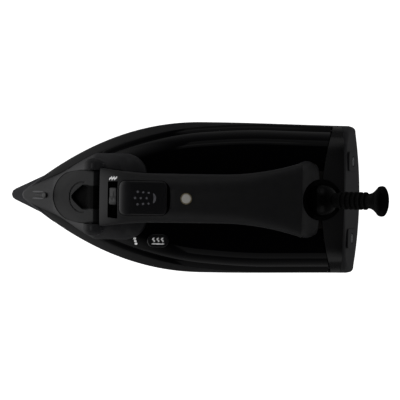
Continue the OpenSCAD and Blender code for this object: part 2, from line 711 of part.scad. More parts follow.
module pump_body(outlet) {
    difference() {
        cylinder(r = pump_r + pump_wall, h = pump_h);
        translate([0, 0, 2]) cylinder(r = pump_r, h = pump_h - 2 - pump_cap);
        translate([0, 0, -1]) cylinder(r = outlet, h = 10);
        translate([0, 0, 3]) cylinder(r = piston_rod_r + 0.2, h = pump_h);
    }
}
head_h = 4;
module pump_piston(head_z, top_z) {
    translate([0, 0, head_z]) cylinder(r = pump_r - run_gap, h = head_h);
    translate([0, 0, head_z + head_h]) cylinder(r = piston_rod_r, h = top_z - head_z - head_h);
}
spray_head_z = pump_z0 + pump_h - 6;
steam_head_z = pump_z0 + 6;
bridge_z = grip_z + 12;
module spray_pump() {
    color("#d8d4c8") translate([pump_x, pump_y, pump_z0]) pump_body(0.8);
}
module steam_pump() {
    color("#d8d4c8") translate([pump_x, -pump_y, pump_z0]) pump_body(1.2);
}
module spray_piston() {
    color("#e6e2d8") translate([pump_x, pump_y, 0]) pump_piston(spray_head_z, button_flange - 3);
}
module spray_spring() {
    color("#c0c0c4") translate([pump_x, pump_y, grip_z + 4 + 0.3])
        coil(2.9, 0.4, 6, button_flange - 3.2 - grip_z - 4.5);
}
module steam_piston() {
    color("#e6e2d8") translate([pump_x, -pump_y, 0]) pump_piston(steam_head_z, bridge_z);
}
module steam_trigger() {
    stem_w = trigger_w - 6;
    stem_l = trigger_l - 6;
    color("#121214") {
        translate([trigger_x, 0, trigger_z]) linear_extrude(trigger_h) rounded_trigger();
        translate([trigger_x - stem_l / 2, -stem_w / 2, trigger_z + trigger_h - 0.01])
            cube([stem_l, stem_w, bridge_z + 2.5 - trigger_z - trigger_h + 0.01]);
        translate([pump_x - 3, -pump_y - 3, bridge_z]) cube([6, 6, 2.5]);
        translate([pump_x, -pump_y - 3, bridge_z])
            cube([trigger_x - pump_x + stem_l / 2, pump_y + 3 + stem_w / 2 - 3, 2.5]);
    }
}
module rounded_trigger() {
    offset(r = 3) square([trigger_l - 6, trigger_w - 6], center = true);
}
module trigger_spring() {
    z0 = steam_head_z + head_h + 0.2;
    color("#c0c0c4") translate([pump_x, -pump_y, z0])
        coil(3.2, 0.4, 4, pump_z0 + pump_h - pump_cap - 0.2 - z0);
}
module slider_track() {
    color("#101012") difference() {
        translate([slider_x - slider_l / 2 - 0.8, -slot_hl - 0.4, track_z - 3.4])
            cube([slider_l + 1.6, 2 * slot_hl + 0.8, 3.2]);
        translate([slider_x - slider_l / 2 + 0.2, -slot_hl + 0.6, track_z - 1.8])
            cube([slider_l - 0.4, 2 * slot_hl - 1.2, 5]);
        translate([slider_x - 1.2, -slot_hl + 2, track_z - 6]) cube([2.4, 2 * slot_hl - 4, 10]);
    }
}
module steam_slider() {
    x0 = slider_x - slider_l / 2 + 0.8;
    x1 = slider_x + slider_l / 2 - 0.8;
    zb = track_z - 1.5;
    color("#0e0e10") {
        translate([0, slider_y + slider_w / 2 - 0.5, 0]) rotate([90, 0, 0])
            linear_extrude(slider_w - 1)
                polygon([[x0, zb], [x1, zb], [x1, handle_top_z(x1) - 1.2], [x0, handle_top_z(x0) - 0.4]]);
        translate([slider_x - 0.8, slider_y - 3, track_z - 4.2]) cube([1.6, 6, 3]);
        // Cam: its sloping lower edge sets how far the dosing needle may rise
        translate([slider_x - 0.8, 0, 0]) rotate([90, 0, 90]) linear_extrude(1.6)
            polygon([[cam_y0, cam_z + cam_slope * cam_y0], [cam_y1, cam_z + cam_slope * cam_y1],
                [cam_y1, track_z - 3.8], [cam_y0, track_z - 3.8]]);
    }
}
module lamp_lens() {
    color("#d8d8d4") translate([lamp_x, 0, 0]) union() {
        translate([0, 0, handle_z - 3.5]) cylinder(r = lamp_r, h = 3.9);
        translate([0, 0, handle_z - 5]) cylinder(r = lamp_r - 1, h = 1.6);
    }
}
module lamp_led() {
    color("#e8e8e0") translate([lamp_x, 0, handle_z - 13]) {
        cylinder(r = 2.5, h = 4.5);
        translate([0, 0, 4.5]) sphere(r = 2.5);
        translate([-7, -6, -1.6]) cube([14, 12, 1.6]);
    }
}
board_x0 = handle_x1 - 62;
module control_board() {
    z = grip_z + 8;
    color("#2c6e3f") union() {
        translate([board_x0, -13, z]) cube([52, 26, 1.6]);
        translate([board_x0 + 6, -9, z + 1.6]) cube([16, 11, 7]);
        translate([board_x0 + 30, -8, z + 1.6]) cube([9, 9, 4]);
        translate([board_x0 + 40, 8, z + 1.6]) cylinder(r = 3, h = 5);
        for (s = [-1, 1]) translate([board_x0 + 8, s * 8, grip_z + 4]) cylinder(r = 1.6, h = 4.2);
    }
}

// ---- Rear leg, rear housing and heel ----
ring_r = 16.5;
foot_rows = [0, 0.25, 0.5, 0.75, 1];
foot_z1 = rear_z + 12;
foot_hw1 = 27;
function foot_arch(t, w) =
    let (x0 = handle_x1 + 0.1, x = mix(x0, rear_x0 - seat_gap, t), base = tank_z + 0.3)
    let (top = mix(handle_top_z(handle_x1), foot_z1, smooth(-0.2, 1, t)))
    let (hw = mix(handle_half(handle_x1), foot_hw1, t))
    [for (a = [0 : 9 : 180])
        [x, (hw - w) * bend(cos(a), 3), base + (top - base - w) * bend(sin(a), 3)]];
module handle_foot() {
    function shifted(arch, dx) = [for (p = arch) [p[0] + dx, p[1], p[2]]];
    function closed(arch, dz) = [for (p = arch) [p[0], p[1], p[2] + dz]];
    color("#1c1c1e") difference() {
        stack_x([for (t = foot_rows) foot_arch(t, 0)]);
        stack_x([for (t = foot_rows) shifted(closed(foot_arch(t, wall), -0.5), wall)]);
        translate([ball_x, 0, ball_z - 14]) cylinder(r = ring_r + move_gap, h = 60);
        translate([handle_x1 - 1, -9, grip_z + 2]) cube([10, 18, 8]);
    }
}
function rear_crown(x) = mix(rear_z + 8, rear_z, (x - rear_x0) / (heel_x0 - rear_x0));
// Half profile of the rear housing at x, from the seam up to the crown
function rear_half(x, w) =
    let (hw = half_in(x, 1) - w, crown = rear_crown(x) - w, side = tank_z + 2 - w)
    [[hw, seam_z + seat_gap], [hw - 0.8, seam_z + 15], [hw - 4, tank_z - 10], [hw - 9, tank_z - 3],
        [hw - 14, side], [hw - 24, mix(side, crown, 0.3)], [(hw - 24) * 0.62, mix(side, crown, 0.72)],
        [(hw - 24) * 0.3, mix(side, crown, 0.95)]];
function rear_row(x, w) =
    let (h = rear_half(x, w))
    concat([for (p = h) [x, p[0], p[1]]], [[x, 0, rear_crown(x) - w]],
        [for (k = [len(h) - 1 : -1 : 0]) [x, -h[k][0], h[k][1]]]);
function rear_grid(x0, x1, w) = [for (t = [0 : 0.25 : 1]) rear_row(mix(x0, x1, t), w)];
module rear_housing() {
    color("#151517") difference() {
        sheet(rear_grid(rear_x0, heel_x0, 0), rear_grid(rear_x0, heel_x0, wall));
        translate([ball_x, 0, ball_z - 14]) cylinder(r = ring_r + move_gap, h = 60);
    }
}
// Plan outlines of the heel at a level, following the rear housing's side profile
function heel_ring(z, side, w) =
    at_z(plan(heel_x0 - 60, heel_x - heel_in(z) - w, function(x) side + 1 + w, heel_bow * 0.6, 6), z);
function heel_rings(w, drop) = [
    heel_ring(seam_z + seat_gap - 10 * drop, 0, w), heel_ring(seam_z + 15, 0.8, w),
    heel_ring(tank_z - 10, 4, w), heel_ring(tank_z - 3, 9, w), heel_ring(tank_z + 2 - w, 14, w),
    heel_ring(mix(tank_z + 2, rear_z, 0.5) - w, 28, w), heel_ring(rear_z - w, 42, w)];
module heel_cover() {
    color("#4a4a4d") difference() {
        intersection() {
            stack(heel_rings(0, 0));
            translate([heel_x0 + seat_gap, -100, 0]) cube([60, 200, 120]);
        }
        stack(heel_rings(wall, 0.1));
        for (s = [-1, 1]) heel_frame(s) translate([0, 0, -10]) cylinder(r = 2.1, h = 20);
    }
}
// A frame whose +Z is the heel face's outward normal, at one of the two pads
pad_z = 52;
pad_y = 32;
module heel_frame(s) {
    translate([heel_x - heel_in(pad_z), s * pad_y, pad_z]) rotate([0, 90 - heel_tilt, 0]) children();
}
pad_l = 34;
pad_w = 16;
module heel_pads() {
    color("#1a1a1c") for (s = [-1, 1]) heel_frame(s) {
        translate([0, 0, -0.45]) linear_extrude(1.05) difference() {
            offset(r = 3) square([pad_l - 6, pad_w - 6], center = true);
            circle(r = 4.5);
        }
    }
}
module heel_screws() {
    color("#c8c8cc") for (s = [-1, 1]) heel_frame(s)
        translate([0, 0, 0.02]) screw(1.9, 12, 3.6, 0.5);
}

// ---- Cord swivel ----
seat_r = ring_r - 3.5;
seat_hw = foot_hw1 - wall - 1;
module swivel_seat() {
    color("#2a2a2c") translate([ball_x, 0, ball_z - 17]) difference() {
        union() {
            cylinder(r = seat_r, h = 2.8);
            translate([-seat_r, -seat_hw, -4]) cube([2 * seat_r, 2 * seat_hw, 4.01]);
        }
        translate([0, 0, -5]) cylinder(r = 7, h = 20);
    }
}
ring_z0 = ball_z - 14;
module swivel_ring() {
    color("#0c0c0e") difference() {
        translate([ball_x, 0, ring_z0 + 0.1]) cylinder(r = ring_r, h = 17);
        translate([ball_x, 0, ball_z]) sphere(r = ball_r + 0.3);
        translate([ball_x, 0, ring_z0 - 5]) cylinder(r = 7, h = 20);
        translate([ball_x, -neck_r - 1.4, ball_z - 6]) cube([40, 2 * neck_r + 2.8, 30]);
        translate([ball_x, 0, ball_z + 0.5]) rotate([0, 22, 0]) translate([-40, -40, 0]) cube([100, 80, 40]);
    }
}
module guard_frame() {
    translate([ball_x, 0, ball_z]) rotate([0, 90 - guard_tilt, 0]) children();
}
module swivel_ball() {
    color("#0a0a0c") difference() {
        translate([ball_x, 0, ball_z]) sphere(r = ball_r);
        guard_frame() translate([0, 0, -30]) cylinder(r = cord_r, h = 60);
        guard_frame() translate([0, 0, -30]) cylinder(r1 = 14, r2 = cord_r, h = 26);
    }
}
rib_n = 6;
rib_l = 2.8;
rib_pitch = 4.2;
rib_start = 16;
mouth_r = 12.3;
module cord_guard() {
    flare_z = guard_l - 12;
    color("#0a0a0c") guard_frame() difference() {
        union() {
            cylinder(r = neck_r - 1.2, h = flare_z);
            for (k = [0 : rib_n - 1])
                translate([0, 0, rib_start + rib_pitch * k]) cylinder(r = neck_r, h = rib_l);
            translate([0, 0, flare_z]) cylinder(r1 = neck_r - 1.2, r2 = mouth_r, h = 9);
            translate([0, 0, flare_z + 9]) cylinder(r = mouth_r, h = 3);
        }
        sphere(r = ball_r + 0.02);
        translate([0, 0, -1]) cylinder(r = cord_r, h = guard_l + 2);
        translate([0, 0, guard_l - 9]) cylinder(r1 = cord_r, r2 = mouth_r - 1.5, h = 9.01);
    }
}

// ---- Mains connection ----
block_x = heel_x0 - 12;
module terminal_block() {
    color("#e8e4da") translate([block_x - 9, -15, tray_z + tray_t + 8]) difference() {
        cube([16, 30, 14]);
        for (k = [0 : 2]) translate([-1, 5 + 10 * k, 7]) rotate([0, 90, 0]) cylinder(r = 2, h = 20);
        for (k = [0 : 2]) translate([8, 5 + 10 * k, 9]) cylinder(r = 2.4, h = 10);
    }
}
module cord_clamp() {
    color("#2a2a2c") translate([block_x - 1, 0, tray_z + tray_t + 28]) difference() {
        translate([-5, -13, 0]) cube([10, 26, 8]);
        translate([0, 0, -1]) cylinder(r = cord_r, h = 20);
        for (s = [-1, 1]) translate([-10, s * 9.5, 4]) rotate([0, 90, 0]) cylinder(r = 1.4, h = 20);
    }
}
module power_wires() {
    z0 = tray_z + tray_t + 22;
    color("#b03a2a") for (k = [-1 : 1])
        pipe([[block_x - 1, 6 * k, z0 + 0.9], [block_x - 1, 2.4 * k, z0 + 5.4]], 1);
}

soleplate();
sole_casting();
heating_element();
chamber_gasket();
chamber_cover();
cover_screws();
thermostat();
thermal_fuse();
skirt();
base_tray();
tray_screws();
tank_shell();
tank_floor();
valve_seat();
dosing_needle();
needle_seal();
clean_button();
clean_rod();
clean_spring();
clean_seat();
filler_funnel();
nose_cover();
spray_nozzle();
spray_hose();
fill_door();
door_pin();
front_pillar();
handle_top();
handle_grip();
spray_button();
spray_piston();
spray_spring();
spray_pump();
steam_trigger();
steam_piston();
trigger_spring();
steam_pump();
slider_track();
steam_slider();
lamp_lens();
lamp_led();
control_board();
handle_foot();
rear_housing();
heel_cover();
heel_pads();
heel_screws();
swivel_seat();
swivel_ring();
swivel_ball();
cord_guard();
terminal_block();
cord_clamp();
power_wires();
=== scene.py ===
"""Looks of a black steam iron, seen from above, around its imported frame. Lengths here are millimetres."""
import math

import bmesh
import bpy
import numpy as np
from mathutils import Matrix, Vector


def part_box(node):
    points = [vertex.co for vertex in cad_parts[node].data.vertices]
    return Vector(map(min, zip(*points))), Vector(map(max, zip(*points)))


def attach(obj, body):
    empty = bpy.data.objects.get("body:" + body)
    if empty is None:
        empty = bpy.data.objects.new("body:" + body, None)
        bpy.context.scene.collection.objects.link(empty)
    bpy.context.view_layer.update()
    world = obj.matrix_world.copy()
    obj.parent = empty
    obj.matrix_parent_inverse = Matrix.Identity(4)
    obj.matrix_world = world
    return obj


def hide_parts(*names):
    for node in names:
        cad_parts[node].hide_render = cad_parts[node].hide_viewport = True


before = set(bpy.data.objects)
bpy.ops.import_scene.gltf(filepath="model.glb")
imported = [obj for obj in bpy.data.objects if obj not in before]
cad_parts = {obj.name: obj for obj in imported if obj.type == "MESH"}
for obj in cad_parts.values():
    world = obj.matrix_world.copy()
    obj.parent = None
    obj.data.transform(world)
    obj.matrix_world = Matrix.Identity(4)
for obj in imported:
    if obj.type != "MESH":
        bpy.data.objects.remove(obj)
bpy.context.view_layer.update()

MM = 0.001


def corners(node):
    """Lowest and highest corner of a frame node, in millimetres."""
    low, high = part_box(node)
    return np.array(low) / MM, np.array(high) / MM


# ---- Sizes: stations and levels from the frame, then the design's own proportions ----
sole_low = corners("soleplate")[0]
skirt_low, skirt_high = corners("skirt")
tank_low, tank_high = corners("tank_shell")
top_low, top_high = corners("handle_top")
door_low = corners("fill_door")[0]
key_low, key_high = corners("spray_button")
rear_low, rear_high = corners("rear_housing")
ball_low, ball_high = corners("swivel_ball")
pillar_low, pillar_high = corners("front_pillar")
lens_low, lens_high = corners("lamp_lens")
clean_low, clean_high = corners("clean_button")
pin_low, pin_high = corners("door_pin")
slider_low, slider_high = corners("steam_slider")

nose_x = sole_low[0]
heel_x = skirt_high[0]
cover_x0 = skirt_low[0]
skirt_z = skirt_low[2]
seam_z = skirt_high[2]
tank_z = tank_high[2]
handle_x0 = top_low[0]
handle_x1 = top_high[0]
handle_z = top_high[2]
heel_x0 = rear_high[0]
half_w = 64.0

# Height of the grip's underside below the handle's crown
handle_t = 36.0
grip_z = handle_z - handle_t

# The outline: half width at the nose, length and power of the flare, and the taper towards the heel
nose_hw = 3.0
flare_l = 153.0
flare_pow = 2.1
heel_taper = 1.5

# The heel's face leans forward above this level
heel_lean = math.tan(math.radians(15.7))
heel_datum_z = 20.0

# Inset of the seam on the flare and where it narrows, wall thickness and the gap round moving pieces
seam_in = 7.5
flare_x0 = nose_x + 99
flare_x1 = heel_x - 79
wall = 2.5
gap = 0.4
hinge_x = (pin_low[0] + pin_high[0]) / 2
hinge_z = (pin_low[2] + pin_high[2]) / 2
door_x0 = door_low[0] - gap
door_hw = 21.6

# Length of the lid's half-elliptic front, and half width of the cover's shoulders
door_nose_l = 21.0
shoulder_hw = 35.8
ball_at = np.array([(ball_low[0] + ball_high[0]) / 2, 0.0, (ball_low[2] + ball_high[2]) / 2])
ball_r = (ball_high[1] - ball_low[1]) / 2
guard_lean = math.radians(28)

# Radius of the socket round the ball, and of the cord's bore
socket_r = 16.9
bore_r = 3.75


# ---- Small formulas ----
def mix(a, b, t):
    """The value at share t of the way from a to b."""
    return a + (b - a) * t


def smooth(a, b, x):
    """Ramp from 0 at a to 1 at b that starts and ends level."""
    t = np.clip((x - a) / (b - a), 0, 1)
    return t * t * (3 - 2 * t)


def bend(c, n):
    """Cosine or sine bent towards a rounded square of power n."""
    return np.sign(c) * np.abs(c) ** (2 / n)


def fair(points, steps):
    """Catmull-Rom curve through points along the next-to-last axis, with steps spans between two points."""
    before = 2 * points[..., :1, :] - points[..., 1:2, :]
    after = 2 * points[..., -1:, :] - points[..., -2:-1, :]
    p = np.concatenate([before, points, after], -2)
    t = (np.arange(steps) / steps)[:, None]
    p0, p1, p2, p3 = (p[..., i:p.shape[-2] - 3 + i, None, :] for i in range(4))
    curve = 0.5 * (2 * p1 + (p2 - p0) * t + (2 * p0 - 5 * p1 + 4 * p2 - p3) * t ** 2
                   + (3 * p1 - p0 - 3 * p2 + p3) * t ** 3)
    curve = curve.reshape(*curve.shape[:-3], -1, curve.shape[-1])
    return np.concatenate([curve, points[..., -1:, :]], -2)


def circle(radius, count=64):
    """Circle about the origin."""
    a = np.linspace(0, 2 * np.pi, count, endpoint=False)
    return np.stack([radius * np.cos(a), radius * np.sin(a)], -1)


def even(loop, count):
    """The closed loop of points, walked round in count equal steps."""
    closed = np.concatenate([loop, loop[:1]])
    walked = np.concatenate([[0], np.cumsum(np.linalg.norm(np.diff(closed, axis=0), axis=1))])
    at = np.linspace(0, walked[-1], count, endpoint=False)
    return np.stack([np.interp(at, walked, closed[:, k]) for k in range(closed.shape[1])], -1)


def rounded(length, width, radius, count=96):
    """Rounded rectangle about the origin: four quarter circles joined by straight sides."""
    a = np.radians(np.linspace(0, 90, 9))
    quarters = []
    for turn, sx, sy in ((0, 1, 1), (1, -1, 1), (2, -1, -1), (3, 1, -1)):
        b = a + turn * math.pi / 2
        quarters.append(np.stack([sx * (length / 2 - radius) + radius * np.cos(b),
                                  sy * (width / 2 - radius) + radius * np.sin(b)], -1))
    return even(np.concatenate(quarters), count)


def raised(loop, z):
    """A plan loop lifted to height z, a number or one value per point."""
    return np.concatenate([loop, np.broadcast_to(np.asarray(z, float), loop.shape[0])[:, None]], -1)


def stack(rings, low_cap=True, high_cap=True):
    """Rings as rows of a grid, closed with a fan to the middle at the ends that are capped."""
    rings = np.asarray(rings)
    rows = [rings]
    if low_cap:
        rows.insert(0, np.broadcast_to(rings[0].mean(0), rings[:1].shape))
    if high_cap:
        rows.append(np.broadcast_to(rings[-1].mean(0), rings[:1].shape))
    return np.concatenate(rows)


def lathe(profile, origin, axis, count=72):
    """Profile of (distance along axis, radius) turned about an axis through origin."""
    profile = np.asarray(profile, float)
    axis = np.asarray(axis, float) / np.linalg.norm(axis)
    side = np.array([0.0, 1.0, 0.0])
    if abs(axis[1]) > 0.9:
        side = np.array([1.0, 0.0, 0.0])
    side = side - axis * side.dot(axis)
    side /= np.linalg.norm(side)
    third = np.cross(axis, side)
    a = np.linspace(0, 2 * math.pi, count, endpoint=False)
    around = np.cos(a)[:, None] * side + np.sin(a)[:, None] * third
    return np.asarray(origin) + profile[:, 0, None, None] * axis + profile[:, 1, None, None] * around


def walled(outer, inner):
    """Closed shell between an outer and an inner grid: one loop round each row, and the two end strips."""
    loop = np.concatenate([outer, inner[:, ::-1]], 1)
    front = np.stack([outer[0], inner[0]])
    back = np.stack([outer[-1], inner[-1]])
    return [(loop, True), (front, False), (back, False)]


# ---- Meshes ----
def build(name, grids, material, body, stands_for=(), sharp=32):
    """One closed piece from grids of points: equal points are merged and the faces turned outwards."""
    points, faces, start = [], [], 0
    for grid, wraps in grids:
        rows, cols = grid.shape[:2]
        i = np.arange(rows - 1)[:, None]
        j = np.arange(cols if wraps else cols - 1)[None, :]
        k = (j + 1) % cols
        faces.append(np.stack([i * cols + j, i * cols + k, (i + 1) * cols + k, (i + 1) * cols + j],
                              -1).reshape(-1, 4) + start)
        points.append(grid.reshape(-1, 3))
        start += rows * cols
    mesh = bpy.data.meshes.new(name)
    mesh.from_pydata((np.concatenate(points) * MM).tolist(), [], np.concatenate(faces).tolist())
    tidy = bmesh.new()
    tidy.from_mesh(mesh)
    bmesh.ops.remove_doubles(tidy, verts=tidy.verts, dist=2e-6)
    bmesh.ops.dissolve_degenerate(tidy, edges=tidy.edges, dist=1e-6)
    bmesh.ops.recalc_face_normals(tidy, faces=tidy.faces)
    if tidy.calc_volume(signed=True) < 0:
        bmesh.ops.reverse_faces(tidy, faces=tidy.faces)
    tidy.to_mesh(mesh)
    tidy.free()
    piece = bpy.data.objects.new(name, mesh)
    bpy.context.collection.objects.link(piece)
    mesh.materials.append(material)
    shade(mesh, sharp)
    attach(piece, body)
    if stands_for:
        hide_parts(*stands_for)
    return piece


def shade(mesh, sharp):
    """Smooth shading, broken at edges sharper than the given angle in degrees."""
    mesh.shade_smooth()
    mesh.set_sharp_from_angle(angle=math.radians(sharp))


def carve(piece, cutters, sharp=32):
    """Cut closed grids out of a piece, and keep the result as the piece's own mesh."""
    for count, grids in enumerate(cutters):
        tool = build(f"cutter_{count}", grids, piece.data.materials[0], "housing")
        cut = piece.modifiers.new("cut", "BOOLEAN")
        cut.operation = "DIFFERENCE"
        cut.solver = "EXACT"
        cut.object = tool
        ready = piece.evaluated_get(bpy.context.evaluated_depsgraph_get())
        mesh = bpy.data.meshes.new_from_object(ready)
        piece.modifiers.remove(cut)
        piece.data = mesh
        bpy.data.objects.remove(tool)
    shade(piece.data, sharp)


# ---- Materials ----
def linear(code):
    """An sRGB hex colour as linear RGBA."""
    c = np.array([int(code[i:i + 2], 16) for i in (1, 3, 5)]) / 255
    value = np.where(c <= 0.04045, c / 12.92, ((c + 0.055) / 1.055) ** 2.4)
    return (*value.tolist(), 1.0)


def add(tree, kind, sockets, **fields):
    """Add a node, set its fields, then give each socket a value or another node's output."""
    new = tree.nodes.new(kind)
    for key, value in fields.items():
        setattr(new, key, value)
    for key, value in sockets.items():
        if isinstance(value, bpy.types.NodeSocket):
            tree.links.new(value, new.inputs[key])
        else:
            new.inputs[key].default_value = value
    return new


def finish(name, colour, tint, rough, grain, depth, spread=0.05, stretch=(1, 1, 1), cells=False,
           shine=0.5, **shader):
    """A surface whose grain, in millimetres, shifts its colour and roughness and lifts it by depth."""
    made = bpy.data.materials.new(name)
    made.use_nodes = True
    tree = made.node_tree
    tree.nodes.clear()
    place = add(tree, "ShaderNodeTexCoord", {})
    scale = tuple(1 / (grain * MM * s) for s in stretch)
    at = add(tree, "ShaderNodeMapping", {"Vector": place.outputs["Object"], "Scale": scale})
    broad = add(tree, "ShaderNodeTexNoise", {"Vector": at.outputs["Vector"], "Scale": 0.08, "Detail": 3.0})
    if cells:
        fine = add(tree, "ShaderNodeTexVoronoi", {"Vector": at.outputs["Vector"], "Scale": 1.0})
        height = fine.outputs["Distance"]
    else:
        fine = add(tree, "ShaderNodeTexNoise", {"Vector": at.outputs["Vector"], "Scale": 1.0, "Detail": 4.0})
        height = fine.outputs["Fac"]
    blend = add(tree, "ShaderNodeValToRGB", {"Fac": broad.outputs["Fac"]})
    blend.color_ramp.elements[0].position = 0.3
    blend.color_ramp.elements[0].color = linear(colour)
    blend.color_ramp.elements[1].position = 0.7
    blend.color_ramp.elements[1].color = linear(tint)
    wear = add(tree, "ShaderNodeMapRange", {"Value": height, "To Min": rough - spread,
                                            "To Max": rough + spread})
    relief = add(tree, "ShaderNodeBump", {"Height": height, "Distance": depth * MM, "Strength": 1.0})
    coat = add(tree, "ShaderNodeBsdfPrincipled", {
        "Base Color": blend.outputs["Color"], "Roughness": wear.outputs["Result"],
        "Normal": relief.outputs["Normal"], "Specular IOR Level": shine, **shader})
    add(tree, "ShaderNodeOutputMaterial", {"Surface": coat.outputs["BSDF"]})
    return made


# Nose cover: ABS moulded against a spark-eroded tool, a fine matt grain on charcoal
cover_abs = finish("spark_grained_abs_charcoal", "#19191b", "#1d1d1f", 0.46, 0.5, 0.02, shine=0.36, IOR=1.53)
# Skirt: the same ABS with a smoother grain, so the edges of the heel and nose catch soft light
skirt_abs = finish("satin_moulded_abs", "#101011", "#131314", 0.4, 0.6, 0.015, shine=0.26, IOR=1.53)
# Raised beads: the cover's ABS painted much lighter, so thin edges draw a painted highlight line
edge_highlight_abs = finish("painted_highlight_abs_edge", "#3a3a3d", "#424245", 0.34, 0.6, 0.01, shine=0.6, IOR=1.53)
# Handle: satin ABS, nearly black, with the broad soft highlights of a fine grain
handle_abs = finish("satin_black_abs", "#171718", "#1a1a1b", 0.44, 0.45, 0.012, shine=0.22, IOR=1.53)
# Grip: soft-touch lacquer over ABS, dull, with a leather-like cell grain
grip_touch = finish("soft_touch_lacquered_grip", "#111112", "#151516", 0.62, 0.9, 0.05, cells=True, IOR=1.48)
# Tank: smoked polycarbonate over black from a polished tool, so its faint reflections stay sharp
tank_pc = finish("polished_smoked_polycarbonate", "#020203", "#030304", 0.07, 14.0, 0.003, spread=0.02,
                 shine=0.1, IOR=1.58)
# Rear band: piano-black ABS, polished, with the faint waviness of a moulded shell
gloss_abs = finish("piano_black_abs", "#060607", "#080809", 0.2, 18.0, 0.006, spread=0.03, shine=0.4,
                   IOR=1.53)
# Heel: satin grey-black ABS that wears against the table
heel_abs = finish("satin_heel_abs", "#131315", "#171719", 0.44, 0.8, 0.02, shine=0.28, IOR=1.53)
# Keys: fine-polished black ABS under fingers, a little greasy sheen
key_abs = finish("finger_polished_abs", "#0d0d0e", "#101012", 0.3, 6.0, 0.004, shine=0.4, IOR=1.53)
# Door lid: satin ABS, a little darker and duller than the cover
door_abs = finish("satin_door_abs", "#0d0d0e", "#101011", 0.48, 0.5, 0.015, shine=0.1, IOR=1.53)
# Spray jet: smoother ABS painted darker than the cover, the painted shade of the spray groove
groove_shade_abs = finish("smooth_abs_painted_groove_shade", "#0f0f10", "#121213", 0.3, 0.6, 0.01, IOR=1.53)
# Dark wells: dead-black ABS in the hollows of the lid and under the keys, painted shade that darkens them
well_shade_abs = finish("black_abs_painted_well_shade", "#010101", "#020202", 0.85, 1.2, 0.02, shine=0.06, IOR=1.5)
# Printed marks: pad-printed grey and white ink, slightly raised and dull
ink_white = finish("pad_printed_white_ink", "#f2f2f2", "#e6e6e6", 0.55, 0.3, 0.01, IOR=1.5)
ink_grey = finish("pad_printed_grey_ink", "#55555a", "#4c4c50", 0.5, 0.3, 0.01, IOR=1.5)
# Lamp lens: frosted polycarbonate over a warm reflector ring
lens_pc = finish("frosted_polycarbonate_lens", "#a8a6a1", "#9e9c96", 0.3, 0.8, 0.01, IOR=1.58)
lens_ring = finish("amber_reflector_ring", "#6b6248", "#5c543e", 0.35, 0.8, 0.01, IOR=1.5)
# Cord guard: moulded thermoplastic elastomer, dull and almost black, on a smooth nylon ball
guard_tpe = finish("moulded_elastomer", "#030303", "#050505", 0.6, 0.7, 0.02, shine=0.1, IOR=1.5)
ball_pa = finish("glossy_black_nylon", "#020202", "#030303", 0.26, 5.0, 0.004, shine=0.14, IOR=1.53)
# Sole plate: hard-anodised aluminium, brushed lengthwise, a dull pale grey edge under the skirt
sole_metal = finish("hard_anodised_sole", "#8c8c90", "#7e7e82", 0.5, 0.35, 0.004, stretch=(14, 1, 1),
                    Metallic=0.9)
# Sole casting: die-cast aluminium, pale and slightly pitted
cast_metal = finish("die_cast_aluminium", "#b4b4b2", "#9c9c9a", 0.5, 1.6, 0.08, Metallic=1.0)
# Heater: steel tube browned by heat
heater_steel = finish("heat_tinted_steel_tube", "#8d8176", "#6f6258", 0.35, 2.0, 0.01, Metallic=1.0)
# Screws, rods and the chamber cover: bright zinc plate with a cool sheen
zinc_steel = finish("bright_zinc_plated_steel", "#cfd2d4", "#bcc0c2", 0.28, 1.0, 0.01, Metallic=1.0)
# Springs: drawn wire, smooth and bright
spring_steel = finish("drawn_spring_steel", "#c6c6c8", "#aeaeb0", 0.25, 0.5, 0.004, Metallic=1.0)
# Valve seat: turned brass with fine rings left by the tool
brass = finish("turned_brass", "#c8a04a", "#b48c3c", 0.25, 0.6, 0.006, stretch=(6, 6, 1), Metallic=1.0)
# Gasket: orange silicone sheet, dull and a little dusty
gasket_rubber = finish("orange_silicone_rubber", "#c2592b", "#b04f25", 0.55, 0.8, 0.02, IOR=1.43)
# Seals: red moulded silicone
seal_rubber = finish("red_silicone_seal", "#a8301f", "#96291a", 0.5, 0.8, 0.02, IOR=1.43)
# Thermostat and fuse bodies: glazed steatite, cream with a soft gloss
ceramic = finish("glazed_steatite_ceramic", "#dcd5c6", "#cfc7b6", 0.28, 1.5, 0.02, IOR=1.6)
# Pumps, pistons and hose: natural acetal, milky white and slippery
white_pom = finish("natural_acetal", "#e2ded2", "#d8d3c5", 0.35, 1.0, 0.01, IOR=1.48)
# Tray and clamp: glass-filled nylon, near black with a fibrous bloom
tray_pa = finish("glass_filled_nylon", "#161414", "#1b1817", 0.55, 1.1, 0.04, IOR=1.53)
# Lamp board: green epoxy laminate with the weave just showing
board_fr4 = finish("green_epoxy_board", "#1f5c36", "#2a7042", 0.35, 1.3, 0.02, stretch=(1, 8, 1), IOR=1.55)
# Wires: extruded red vinyl
wire_pvc = finish("extruded_red_wire", "#a23425", "#8e2b1e", 0.4, 0.8, 0.01, IOR=1.53)


# ---- Body outline ----
def skirt_half(x):
    """Half width of the widest line: a power curve flaring from the nose, easing in towards the heel."""
    u = np.clip((x - cover_x0) / flare_l, 0, 1)
    flare = (half_w - nose_hw) * (1 - (1 - u) ** flare_pow)
    return nose_hw + flare - heel_taper * smooth(heel_x - 120, heel_x, x)


def tip_half(d, radius=5.4, lean=math.radians(40)):
    """Half width at distance d behind a rounded nose: a circle, then its tangent."""
    run = radius * (1 - math.sin(lean))
    arc = np.sqrt(np.clip(radius ** 2 - (radius - d) ** 2, 0, None))
    return np.where(d < run, arc, radius * math.cos(lean) + (d - run) * math.tan(lean))


def half_in(x, inset):
    """Half width after moving the outline in by an inset measured square to it."""
    slope = (skirt_half(x + 1) - skirt_half(x - 1)) / 2
    return skirt_half(x) - inset * np.sqrt(1 + slope ** 2)


def run_in(x, front, rear):
    """An inset that goes from its value on the flare to its value along the straight sides."""
    return mix(front, rear, smooth(flare_x0, flare_x1, x))


